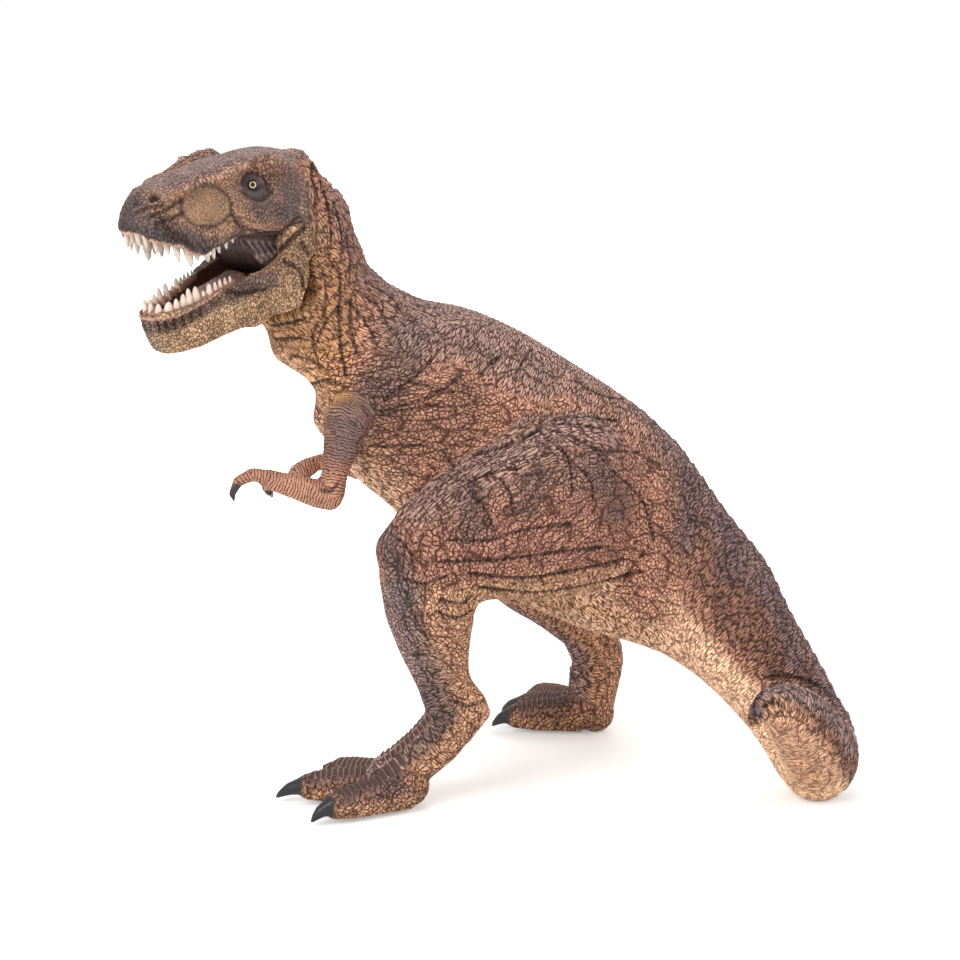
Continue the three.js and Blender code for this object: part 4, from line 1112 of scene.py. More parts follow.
LEG_STROKES = (
    dab(((388, 540), (392, 566), (404, 590)), 4.2, (104, 86, 84), 0.75),
    dab(((398, 586), (408, 620), (424, 655), (436, 690)), 3.3, (112, 94, 92), 0.7),
    dab(((425, 700), (446, 704), (440, 722)), 3.0, (86, 70, 68), 0.7),
    dab(((442, 718), (430, 738), (408, 754)), 2.8, (104, 82, 74), 0.7),
    fold(((392, 534), (408, 548), (416, 572)), 0.42, 0.41),
    fold(((405, 590), (412, 612), (428, 640)), 0.34, 0.41),
    fold(((440, 600), (462, 604), (472, 596)), 0.51, 0.41),
    fold(((436, 612), (458, 618), (472, 610)), 0.42, 0.41),
    fold(((450, 700), (470, 706), (484, 700)), 0.34, 0.38),
    fold(((404, 580), (424, 584), (446, 576)), 0.42, 0.41),
)
ARM_STROKES = (
    dab(((184, 160), (196, 152), (208, 154)), 2.6, (142, 116, 112), 0.85),
    dab(((340, 412), (352, 432), (348, 448)), 4.0, (100, 80, 78), 0.7),
    fold(((362, 406), (368, 418), (367, 430), (357, 444)), 0.45, 0.42),
    fold(((338, 484), (330, 492), (322, 490)), 0.4, 0.5),
    Stroke(((231, 499), (233, 492), (237, 487)), 0.9, 0.25, 0, (62, 54, 56), 1.0, 0.25, 0.6, 0.9),
    Stroke(((272, 498), (269, 492)), 0.9, 0.2, 0, (62, 54, 56), 1.0, 0.25, 0.6, 0.9),
)
TAIL_STROKES = (
    dab(((688, 478), (692, 505), (684, 540)), 3.2, (106, 82, 82), 0.8),
    dab(((724, 520), (734, 548), (728, 572)), 3.2, (106, 82, 82), 0.8),
    dab(((766, 584), (780, 612)), 2.8, (106, 82, 82), 0.7),
    dab(((784, 628), (796, 664)), 2.8, (106, 82, 82), 0.7),
    dab(((775, 715), (795, 745), (815, 780)), 6.4, (188, 142, 112), 0.95),
    dab(((764, 692), (788, 692), (818, 706), (842, 730), (850, 750)), 2.2, (142, 116, 112), 0.85),
    dab(((757, 714), (754, 702), (759, 694)), 1.8, (98, 80, 84), 0.95),
    ridge(((764, 684), (788, 684), (820, 698), (846, 722), (855, 742)), 0.5, 0.5, (182, 152, 138), 0.7),
    # Painted shadow line in the groove between the tail's curl and the tail.
    fold(((766, 678), (792, 677), (826, 690), (850, 716)), 0.6, 0.5),
    fold(((764, 706), (772, 701), (782, 707)), 0.6, 0.5),
)
JAW_STROKES = (
    dab(((262, 262), (290, 256), (306, 240), (312, 226)), 4.2, (146, 112, 88), 0.8),
    dab(((278, 290), (300, 268), (310, 250)), 3.0, (168, 132, 100), 0.6),
    dab(((158, 347), (200, 338), (262, 320)), 2.4, (184, 152, 120), 0.6),
    dab(((232, 291), (248, 286), (268, 278)), 2.8, (92, 72, 72), 0.8),
    dab(((222, 298), (240, 292)), 1.8, (108, 86, 74), 0.6),
    dab(((145, 325), (160, 328), (176, 324), (196, 314), (214, 303)), 1.7, (84, 62, 64), 0.8),
    ridge(((144, 322), (150, 340), (160, 352)), 1.4, 0.3, (146, 124, 112), 0.6),
    Stroke(((152, 346), (165, 349), (185, 347)), 2.6, pull=(0.0, 0.0, -0.7)),
    Stroke(((202, 337), (222, 330), (244, 320), (262, 312)), 3.2, pull=(0.0, 0.0, -1.5)),
    Stroke(((258, 312), (278, 304), (290, 301)), 3.0, pull=(-0.2, 0.0, -1.6)),
    Stroke(((308, 240), (313, 262), (312, 284)), 2.4, pull=(0.5, 0.2, 0.0)),
    ridge(((141, 318), (160, 319), (182, 314), (208, 300), (226, 287)), 0.3, 0.2, (176, 134, 114), 0.8, 0.8),
    *(
        fold(((x, y), (x + 1.5, y + 8)), 0.35, 0.4)
        for x, y in ((150, 322), (158, 323), (166, 322), (174, 320), (182, 317), (191, 313), (200, 308))
    ),
    Stroke(((294, 232), (308, 226), (316, 236)), 2.0, 0.5),
    Stroke(((296, 256), (298, 276)), 3.4, 1.2),
    Stroke(((262, 284), (288, 282)), 3.4, 0.7),
    ridge(((240, 278), (266, 272), (282, 262)), 0.7, 0.4, (150, 116, 92), 0.6),
    fold(((308, 224), (294, 236), (281, 250), (264, 268)), 0.8, 0.7),
    *folds(
        0.35,
        0.6,
        ((228, 291), (244, 294), (264, 288)),
        ((284, 262), (296, 270), (302, 288)),
        ((300, 244), (308, 258), (310, 274)),
    ),
)
LINING_STROKES = (
    dab(((240, 246), (262, 252), (284, 248)), 3.6, (104, 84, 82), 0.85),
    *(
        ridge(
            ((241 + 7 * k, 240 + 0.6 * k), (250 + 6 * k, 250 - k), (262 + 5 * k, 262 - 3 * k)),
            *(0.42, 0.35, (160, 134, 128), 0.8),
        )
        for k in range(6)
    ),
    *(
        ridge(((244.5 + 7 * k, 242 + 0.6 * k), (254 + 6 * k, 254 - k)), 0.38, -0.45, (40, 28, 30), 0.9)
        for k in range(6)
    ),
)
TONGUE_STROKES = (
    Stroke(((196, 290), (215, 284), (240, 276)), 0.8, -0.4, 0.3),
    ridge(((200, 277), (204, 284), (214, 290)), 0.5, 0.2, (176, 146, 134), 0.6),
)
# What the hide gains or loses on top of the solids, to follow the photograph's outline.
SWELLS = (
    # The chest.
    Swell((-42.6, 0.9, 95.0), 6.5, (-2.8, 0.0, -0.6)),
    # The dip above it.
    Swell((-46.0, 0.9, 102.5), 4.5, (2.4, 0.0, 0.8)),
    # The throat.
    Swell((-51.0, 0.9, 114.0), 6.0, (-2.6, -0.4, -1.6)),
    # The nape.
    Swell((-38.8, 0.9, 154.6), 3.4, (1.0, 0.0, 0.8)),
    Swell((-40.8, 0.9, 161.4), 3.6, (-1.6, 0.0, -0.9)),
    # The neck below the nape.
    Swell((-34.9, 0.9, 144.6), 6.0, (-1.3, 0.0, -0.9)),
    # The crown of the head.
    Swell((-46.0, 0.9, 163.0), 4.0, (0.0, 0.0, 0.8)),
    # The tail's upper side, and its bend.
    Swell((71.8, -12.5, 56.0), 12.0, (1.6, 0.0, 1.6)),
    Swell((89.5, -33.0, 17.9), 6.0, (1.5, 0.0, 0.4)),
    # The near calf, and the front of the thigh.
    Swell((-3.8, -27.0, 52.6), 3.6, (-0.4, 0.0, 2.6)),
    Swell((-29.1, -27.0, 67.6), 7.0, (-1.5, 0.0, 0.0)),
    # The belly's rear end.
    Swell((-27.1, 0.9, 73.2), 8.0, (0.9, 0.0, 1.4)),
    # The near heel, and the hollow below it.
    Swell((-4.3, -27.0, 24.4), 4.5, (1.7, 0.0, -0.3)),
    Swell((-6.4, -27.0, 15.3), 3.6, (-1.4, 0.0, 0.6)),
    # The far brow, and the one ahead of the near eye.
    Swell((-69.5, -1.0, 164.5), 3.6, (0.0, 0.0, -1.6)),
    Swell((-77.0, -8.5, 162.3), 3.2, (0.4, 0.0, -0.9)),
    # The top of the snout.
    Swell((-83.6, -18.8, 152.3), 4.5, (-1.2, -0.7, 1.9)),
    Swell((-81.8, -17.6, 158.6), 2.4, (0.0, 0.0, 0.6)),
    Swell((-78.2, -15.7, 160.2), 2.4, (0.0, 0.0, 0.6)),
)
HIDE_PARTS = ("torso", "tail", "left_leg", "right_leg", "left_arm", "right_arm", "head")
TRUNK, LEGS, ARMS, HEAD = (0, 1), (2, 3), (4, 5), 6


class Paint(Enum):
    """The broad colours of the hide."""

    FLESH = (176, 126, 102)
    RUST = (140, 98, 76)
    THIGH = (158, 110, 92)
    BACK = (152, 122, 114)
    BELLY = (222, 178, 146)
    TAIL_SIDE = (118, 80, 66)
    TAIL_CREST = (126, 102, 98)
    TAIL_UNDER = (228, 186, 152)
    THROAT = (214, 156, 114)
    CALF = (192, 146, 114)
    SHIN_FRONT = (146, 120, 118)
    THIGH_UNDER = (200, 156, 120)
    FOOT_TOP = (112, 84, 76)
    FOOT_SIDE = (172, 132, 102)
    SOLE = (214, 184, 146)
    FOREARM = (154, 108, 88)
    UPPER_ARM = (106, 74, 64)
    ARM_UNDER = (178, 140, 112)
    SKULL = (152, 116, 98)
    SKULL_TOP = (142, 118, 112)
    CLAW = (50, 46, 50)


@dataclass
class FigureSkin:
    """The hide of body, limbs and head, made as one skin and shed as one piece for each solid.

    Attributes:
        solids: the CAD objects by name.
        view: the photograph's viewpoint.
        hide: the finish of body and limbs.
        head_hide: the finish of the head.
        voxel: the size of the skin's faces.
        grow: what the solids grow so that their seams close.
        fill: what trunk and thighs gain after their smoothing.
        rounds: how often all of the skin is smoothed.
        broad_rounds: how often trunk and thighs are smoothed after that.
        step_length: spacing of the steps along the tail.
        bead_length: spacing of the beads along the back.
    """

    solids: Dict[str, bpy.types.Object]
    view: View
    hide: Hide
    head_hide: Hide
    voxel: float = 0.42
    grow: float = 0.24
    fill: float = 0.12
    rounds: int = 14
    broad_rounds: int = 110
    step_length: float = 3.7
    bead_length: float = 1.7

    def smooth(self) -> None:
        """Takes the solids' facets and steps out of the skin."""
        skin, label = self.skin, self.label
        thin = np.isin(label, ARMS) | (skin.co[:, 2] < 14)
        skin.relax(np.where(thin, 0.6, 1.0), self.rounds)
        broad = np.isin(label, TRUNK) | (np.isin(label, LEGS) & (skin.co[:, 2] > 30))
        weight = self.spread(broad, 12)
        skin.relax(weight * ease(skin.co[:, 2], 8, 40), self.broad_rounds)
        skin.co += skin.normals() * (self.fill * weight - self.grow)[:, None]
        skin.co[:, 2] = np.maximum(skin.co[:, 2], 0)

    def unbend(self) -> None:
        """Gives each point its place along its own limb."""
        co, count = self.skin.co, len(self.skin.co)
        guides = (
            (SPINE,),
            (SPINE,),
            (NEAR_LEG, *NEAR_TOES),
            (FAR_LEG, *FAR_TOES),
            NEAR_ARM,
            FAR_ARM,
            (HEAD_LINE,),
        )
        self.flow = np.zeros((count, 3))
        self.toe = np.zeros(count)
        for index, several in enumerate(guides):
            here = np.flatnonzero(self.label == index)
            best = np.full(len(here), np.inf)
            for rank, guide in enumerate(several):
                flow, far = guide.unbend(co[here])
                closer = far < best
                best[closer] = far[closer]
                self.flow[here[closer]] = flow[closer]
                self.toe[here[closer]] = float(rank > 0)
        offset = co - np.array(HINGE)
        back = offset @ HEAD_BACK
        self.skull = (self.label == 6) * ease(offset[:, 2], -3.5, -1.0) * (1 - ease(back, 2.0, 5.5))
        neck = np.flatnonzero((self.label == 6) & (self.skull < 0.5))
        self.flow[neck] = SPINE.unbend(co[neck])[0]
        self.flat = np.zeros((count, 3))
        groups = [(self.label == k) & (self.toe == toe) for k in range(6) for toe in (0, 1)]
        groups += [(self.label == 6) & (self.skull < 0.5), (self.label == 6) & (self.skull >= 0.5)]
        for group in groups:
            self.flat[group] = unroll(self.flow[group])

    def spread(self, mask: np.ndarray, rounds: int = 8) -> np.ndarray:
        """Softens a mask over its edge."""
        mask = mask.astype(float)
        for _ in range(rounds):
            mask = self.skin.around(mask)
        return mask

    def crest(self) -> None:
        """Raises the steps along the top of the neck, back and tail."""
        run, side, up = self.flow.T
        trunk = np.isin(self.label, (*TRUNK, HEAD)) * (1 - self.skull)
        top = trunk * np.exp(-((side / 3.2) ** 2)) * (up > 0)
        tail = ease(run, 95, 125)
        step = 1 - (run / self.step_length) % 1
        bead = np.sin(run * 2 * math.pi / self.bead_length)
        self.skin.lift += top * tail * (0.42 * step - 0.18) + top * (1 - tail) * 0.12 * bead
        tail_side = trunk * ease(run, 110, 140) * (1 - np.exp(-((side / 4) ** 2)))
        self.skin.lift += tail_side * 0.14 * np.sin(run * 2 * math.pi / self.step_length + 0.15 * side)

    def survey(self) -> None:
        """Finds the areas that paint and patterns go by, mostly as shares from 0 to 1."""
        label, flow = self.label, self.flow
        co, facing = self.skin.co, self.skin.normals()
        drift = cloud(co, 9.0, 3)
        self.patch = cloud(co, 4.0, 5)
        self.top = facing[:, 2] + 0.16 * drift
        self.front = -facing[:, 0] + 0.15 * drift
        self.turn = flow[:, 2] / (np.linalg.norm(flow[:, 1:], axis=1) + 1e-6) + 0.12 * drift
        self.trunk = np.isin(label, TRUNK) | ((label == HEAD) & (self.skull < 0.5))
        self.neck = ease(co[:, 2], 108, 122) * self.trunk
        self.throat = self.neck * ease(-0.5 * facing[:, 2] - 0.8 * facing[:, 0] + 0.1 * drift, 0.0, 0.6)
        self.tail = ease(co[:, 0], 35, 60) * self.trunk
        self.leg, self.arm = np.isin(label, LEGS), np.isin(label, ARMS)
        self.shin = self.leg & (co[:, 2] < 62) & (self.toe == 0)
        self.foot = self.leg & (self.toe == 1)
        self.claw = self.claws()

    def colour(self) -> None:
        """Lays the broad colours, one over the other."""
        z = self.skin.co[:, 2]
        top, trunk, tail, leg, arm, foot = self.top, self.trunk, self.tail, self.leg, self.arm, self.foot
        shin = self.shin * ease(63 - z, 0, 6) * 0.85
        ahead = self.shin * ease(self.front, 0.1, 0.6) * ease(62 - z, 0, 5) * 0.85
        layers = (
            (np.ones(len(z)), Paint.FLESH),
            (ease(self.patch, 0.0, 0.7) * 0.3, Paint.RUST),
            (leg * ease(z, 56, 66) * 0.85, Paint.THIGH),
            (ease(top, 0.3, 0.8) * 0.8 * (trunk | leg), Paint.BACK),
            (ease(-top, 0.1, 0.5) * trunk, Paint.BELLY),
            (tail * ease(self.turn, -0.25, 0.2) * 0.9, Paint.TAIL_SIDE),
            (tail * ease(self.turn, 0.55, 0.95) * 0.8, Paint.TAIL_CREST),
            (tail * ease(-self.turn, 0.1, 0.4), Paint.TAIL_UNDER),
            (self.throat, Paint.THROAT),
            (shin, Paint.CALF),
            (ahead, Paint.SHIN_FRONT),
            ((leg & (z > 50)) * ease(-top, 0.3, 0.8), Paint.THIGH_UNDER),
            (foot * ease(top, 0.0, 0.5), Paint.FOOT_TOP),
            (foot * ease(-top, -0.15, 0.2) * 0.85, Paint.FOOT_SIDE),
            (leg * ease(1.3 - z, 0, 0.8) * 0.8, Paint.SOLE),
            (arm * 0.9, Paint.FOREARM),
            (arm * ease(z, 84, 92) * 0.85, Paint.UPPER_ARM),
            (arm * ease(-top, 0.3, 0.8) * 0.5, Paint.ARM_UNDER),
            (self.skull, Paint.SKULL),
            (self.skull * ease(top, 0.3, 0.8) * 0.8, Paint.SKULL_TOP),
            (self.claw, Paint.CLAW),
        )
        paint = self.skin.paint
        for share, layer in layers:
            paint += np.clip(share, 0, 1)[:, None] * (np.array(linear(layer.value)) - paint)

    def weave(self) -> None:
        """Says where each pattern of the hide runs, one to a place, and how deep it is."""
        skin, top, trunk, patch = self.skin, self.top, self.trunk, self.patch
        co = skin.co
        belly = self.spread(ease(-top, 0.1, 0.5) * trunk, 4)
        back = ease(top, 0.25, 0.6) * (trunk | (self.leg & (co[:, 2] > 62)))
        ahead = self.shin & (self.front > 0.1)
        low = ease(46 - co[:, 2], 0, 12)
        bars = self.spread(self.arm, 5)
        cross = self.spread(self.shin & ~ahead) * 0.5 + self.spread(ahead) * low * 0.8
        cross = np.maximum(cross, np.maximum(self.tail * 0.95, back * trunk * 0.9))
        along = np.maximum.reduce((belly * 0.9, self.neck * 0.9, back * self.leg * 0.9))
        beads = self.skull * (0.6 + 0.4 * ease(patch, -0.3, 0.4))
        scales = np.clip(1 - cross * 0.9 - along - beads - bars * 0.6, 0.0, 1)
        shares = np.stack((scales, cross, along, beads, bars))
        shares += 0.12 * np.stack([cloud(co, 3.0, 7 + k) for k in range(len(PATTERNS))])
        chosen = shares.argmax(0)
        plain = self.spread(self.claw > 0.5, 3)
        faint = 1 - 0.4 * self.tail * ease(-self.turn, 0.0, 0.4) - 0.15 * self.arm
        for k, name in enumerate(PATTERNS):
            mask = self.spread(chosen == k, 2)
            if name == "beads":
                mask = mask * (0.6 + 0.3 * ease(patch, -0.3, 0.4))
            skin.values[name] = mask * (1 - plain) * faint
        skin.values["gloss"] = 0.9 * plain
        depth = np.full(len(co), 0.26)
        depth[self.arm | self.foot] = 0.24
        depth -= 0.06 * self.skull
        skin.values["depth"] = self.spread(depth, 6) * (1 - plain) * ease(co[:, 2], 0.4, 1.6)
        skin.values["flow"] = self.flat
        skin.values["rest"] = co.copy()

    def claws(self) -> np.ndarray:
        """Returns how far each point belongs to a claw."""
        claw = np.zeros(len(self.skin.co))
        for toes, label in ((NEAR_TOES, 2), (FAR_TOES, 3)):
            here = (self.label == label) & (self.toe == 1)
            for guide in toes:
                root = np.array(guide.points[1])
                ahead = (root - np.array(guide.points[0]))[:2]
                ahead /= np.linalg.norm(ahead)
                offset = (self.skin.co - root)[:, :2]
                beyond = offset @ ahead
                beside = np.abs(offset @ np.array((-ahead[1], ahead[0])))
                claw = np.maximum(claw, here * ease(beyond, 0.9, 1.4) * (beside < 5.5))
        for arm, label in zip((NEAR_ARM, FAR_ARM), ARMS):
            tip = np.array(arm[1].points[-1])
            ahead = tip - np.array(arm[1].points[-2])
            ahead /= np.linalg.norm(ahead)
            offset = self.skin.co - tip
            near = (self.label == label) * (np.linalg.norm(offset, axis=1) < 6)
            claw = np.maximum(claw, near * ease(-offset[:, 2], -2.2, -1.6))
        return claw

    def build(self) -> None:
        """Makes every hide piece."""
        self.skin = Skin(self.solids, HIDE_PARTS, self.grow, self.voxel)
        self.label = self.skin.labels(self.skin.co)
        self.smooth()
        for swell in SWELLS:
            swell.work(self.skin.co)
        self.unbend()
        self.survey()
        self.colour()
        self.weave()
        pencil = Pencil(self.view, self.skin)
        self.crest()
        self.skin.draw(THIGH_STROKES + BODY_STROKES, pencil, Mirror.BODY)
        self.skin.draw(LEG_STROKES + ARM_STROKES + TAIL_STROKES, pencil, Mirror.NONE)
        self.skin.draw(HEAD_STROKES, pencil, Mirror.HEAD)
        self.skin.press()
        self.skin.relax(np.full(len(self.skin.co), 0.5), 1)
        self.split()

    def split(self) -> None:
        """Sheds one piece for each CAD node."""
        skin = self.skin
        centres = skin.co[skin.faces].mean(1)
        face_label = skin.labels(centres)
        votes = np.eye(len(HIDE_PARTS))[face_label]
        for _ in range(6):
            points = np.zeros((len(skin.co), len(HIDE_PARTS)))
            for k in range(4):
                for part in range(len(HIDE_PARTS)):
                    points[:, part] += np.bincount(skin.faces[:, k], votes[:, part], len(skin.co))
            votes = points[skin.faces].sum(1)
            votes /= votes.sum(1, keepdims=True)
        face_label = votes.argmax(1)
        for index, name in enumerate(HIDE_PARTS):
            finish = self.head_hide if name == "head" else self.hide
            piece = skin.shed(name + "_hide", face_label == index, finish.material())
            finish.emboss(piece)
            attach(piece, "figure")
            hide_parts(name)


GAPE = 19.0


def in_head(points: Sequence[Point], gape: float = 0.0) -> np.ndarray:
    """Moves points from the frame of the head, or of the jaw opened by a gape, to the figure's.

    Args:
        points: backwards, to the figure's right and up from the jaw pin.
        gape: how far the jaw is open, in degrees.

    Returns:
        The points in the figure's frame.
    """
    local = np.array(points, float).reshape(-1, 3)
    c, s = math.cos(math.radians(gape)), math.sin(math.radians(gape))
    back = local[:, 0] * c - local[:, 2] * s
    up = local[:, 0] * s + local[:, 2] * c
    across = local[:, 1:2] * HEAD_SIDE
    return np.array(HINGE) + back[:, None] * HEAD_BACK + across + np.outer(up, (0, 0, 1))


@dataclass(frozen=True)
class SkinPiece:
    """A single solid's skin: what it is made of and how it is worked.

    Attributes:
        node: the CAD node that it stands for.
        body: what it rides on.
        slot: the name of a material slot; not used.
        voxel: the size of its faces.
        rounds: how often it is smoothed.
        base: its paint.
        strokes: what is worked into it.
        beads: how strong its beads are.
        cross: how strong its wrinkles are.
        gloss: how glossy its paint is.
        depth: how deep its pattern is, in millimetres.
    """

    node: str
    body: str
    slot: str
    voxel: float
    rounds: int
    base: Colour
    strokes: Tuple[Stroke, ...]
    beads: float = 0.0
    cross: float = 0.0
    gloss: float = 0.0
    depth: float = 0.2

    def build(self, solids: Dict[str, bpy.types.Object], view: View, finish: Hide) -> None:
        """Makes the piece and puts it in its node's place."""
        skin = Skin(solids, (self.node,), 0.02, self.voxel)
        count = len(skin.co)
        skin.relax(np.ones(count), self.rounds)
        skin.paint[:] = linear(self.base)
        facing = skin.normals()
        for name in PATTERNS:
            skin.values[name] = np.zeros(count)
        skin.values["flow"] = unroll(HEAD_LINE.unbend(skin.co)[0])
        skin.values["rest"] = skin.co.copy()
        skin.values["beads"] += self.beads
        skin.values["cross"] += self.cross
        skin.values["gloss"] = np.full(count, self.gloss)
        skin.values["depth"] = np.full(count, self.depth)
        if self.node == "lower_jaw":
            self.darken_mouth(skin, facing)
        skin.draw(self.strokes, Pencil(view, skin), Mirror.HEAD)
        skin.press()
        piece = skin.shed(self.node + "_skin", np.ones(len(skin.faces), bool), finish.material())
        finish.emboss(piece)
        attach(piece, self.body)
        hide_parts(self.node)

    @staticmethod
    def darken_mouth(skin: Skin, facing: np.ndarray) -> None:
        """Paints the jaw's inner side as the inside of a mouth."""
        offset = skin.co - np.array(HINGE)
        beside = offset @ HEAD_SIDE
        inward = -np.sign(beside) * (facing @ HEAD_SIDE)
        floor = ease(facing[:, 2], 0.5, 0.85) * (np.abs(beside) < 8.5)
        inner = np.clip(ease(inward, 0.25, 0.6) + floor, 0, 1) * (offset @ HEAD_BACK < 8)
        for _ in range(3):
            inner = skin.around(inner)
        skin.paint += inner[:, None] * (np.array(linear(MOUTH_PAINT)) - skin.paint)
        skin.values["beads"] *= 1 - inner
        skin.values["gloss"] += 0.5 * inner


@dataclass(frozen=True)
class Enamel:
    """Glazed paint of teeth, claws or metal, in two colours along an attribute."""

    name: str
    low: Colour
    high: Colour
    along: str
    span: Tuple[float, float]
    roughness: float
    metallic: float = 0.0

    def material(self) -> bpy.types.Material:
        """Returns the finish as a material, made once."""
        known = bpy.data.materials.get(self.name)
        if known:
            return known
        material, n = new_finish(self.name)
        place = n.add("ShaderNodeTexCoord", out="Object")
        speck = n.noise(place, 900.0, 3.0)
        streak = n.noise(n.stretch(place, (2.0, 2.0, 0.6)), 700.0, 2.0)
        share = n.step(n.attribute(self.along, "FLOAT") + streak * 0.3 - 0.15, *self.span)
        colour = n.mix(share, (*linear(self.low), 1), (*linear(self.high), 1))
        tone = n.step(speck, 0.3, 0.7, 0.84, 1.08)
        colour = n.add("ShaderNodeVectorMath", {0: colour, "Scale": tone}, operation="SCALE")
        bump = n.add("ShaderNodeBump", {"Strength": 0.4, "Distance": 0.0001, "Height": streak})
        shader = n.add(
            "ShaderNodeBsdfPrincipled",
            {
                "Base Color": colour,
                "Metallic": self.metallic,
                "Roughness": self.roughness + speck * 0.12,
                "Normal": bump,
            },
        )
        n.add("ShaderNodeOutputMaterial", {"Surface": shader})
        return material


class Row:
    """Shapes set on points by Geometry Nodes, each with its own turn and size."""

    def __init__(self, name: str, lean: float, bend: float = 0.0) -> None:
        """Starts an empty row.

        Args:
            name: the name of its piece.
            lean: how far the tips lean, as a share of the width.
            bend: how far the sides of a plate go down, in its heights.
        """
        self.name = name
        self.lean = lean
        self.bend = bend
        self.roots: List[Point] = []
        self.turns: List[Point] = []
        self.sizes: List[Point] = []

    def put(self, root: np.ndarray, axis: np.ndarray, ahead: np.ndarray, size: Sequence[float]) -> None:
        """Adds one shape.

        Args:
            root: the middle of its foot.
            axis: the way it stands.
            ahead: the way its length runs, made square to the axis.
            size: its half length, half breadth and height.
        """
        up = Vector(axis).normalized()
        along = (Vector(ahead) - up * Vector(ahead).dot(up)).normalized()
        basis = Matrix((along, up.cross(along), up)).transposed()
        self.roots.append(tuple((Vector(root) * MM).to_tuple()))
        self.turns.append(tuple(basis.to_euler()))
        self.sizes.append(tuple(s * MM for s in size))

    def shape(self, n: Nodes, lean: Sock, bend: Sock) -> Sock:
        """Adds the nodes of one tooth, a tapered bullet, one high, with its height as an attribute."""
        ends = {"Vertices": 12, "Side Segments": 9, "Radius Top": 0.0, "Radius Bottom": 1.0, "Depth": 1.0}
        cone = n.add("GeometryNodeMeshCone", ends)
        place = n.add("GeometryNodeInputPosition")
        x, y, z = (n.add("ShaderNodeSeparateXYZ", {0: place}, out=k) for k in range(3))
        taper = n.math("POWER", n.math("MAXIMUM", 1 - z, 0.012), -0.56)
        bent = n.add("ShaderNodeCombineXYZ", {0: x * taper + lean * z * z, 1: y * taper, 2: z})
        shaped = n.add("GeometryNodeSetPosition", {"Geometry": cone, "Position": bent})
        tag = {"Geometry": shaped, "Name": "height", "Value": z}
        return n.add("GeometryNodeStoreNamedAttribute", tag, data_type="FLOAT")

    def build(self, finish: bpy.types.Material) -> bpy.types.Object:
        """Makes the piece."""
        recipe = Recipe(self.name, {"Lean": self.lean, "Bend": self.bend})
        n = recipe.nodes
        roots, lean, bend = recipe.given
        row = n.add(
            "GeometryNodeInstanceOnPoints",
            {
                "Points": roots,
                "Instance": self.shape(n, lean, bend),
                "Rotation": n.attribute("turn", "FLOAT_VECTOR"),
                "Scale": n.attribute("size", "FLOAT_VECTOR"),
            },
        )
        solid = n.add("GeometryNodeRealizeInstances", {0: row})
        smooth = n.add("GeometryNodeSetShadeSmooth", {"Geometry": solid, "Shade Smooth": True})
        dressed = n.add("GeometryNodeSetMaterial", {"Geometry": smooth, "Material": finish})
        mesh = bpy.data.meshes.new(self.name)
        mesh.from_pydata(self.roots, [], [])
        Skin.store(mesh, "turn", np.array(self.turns))
        Skin.store(mesh, "size", np.array(self.sizes))
        piece = add_object(self.name, mesh)
        recipe.run(piece, dressed)
        LOG.info("%s: %d shapes", self.name, len(self.roots))
        return piece


class Plates(Row):
    """Rows of horny plates, each a flat box with round edges that bends over a toe."""

    def shape(self, n: Nodes, lean: Sock, bend: Sock) -> Sock:
        """Adds the nodes of one plate, with how near its rim a place is as an attribute."""
        ball = n.add("GeometryNodeMeshUVSphere", {"Segments": 20, "Rings": 10, "Radius": 1.0})
        place = n.add("GeometryNodeInputPosition")
        parts = [n.add("ShaderNodeSeparateXYZ", {0: place}, out=k) for k in range(3)]
        square = [n.math("SIGN", p) * n.math("POWER", n.math("ABSOLUTE", p), 0.55) for p in parts]
        x, y, z = square
        tall = z + lean * x - bend * y * y
        bent = n.add("ShaderNodeCombineXYZ", {0: x, 1: y, 2: tall})
        shaped = n.add("GeometryNodeSetPosition", {"Geometry": ball, "Position": bent})
        rim = n.math("MAXIMUM", x, n.math("ABSOLUTE", y) - 0.15)
        tag = {"Geometry": shaped, "Name": "height", "Value": rim}
        return n.add("GeometryNodeStoreNamedAttribute", tag, data_type="FLOAT")


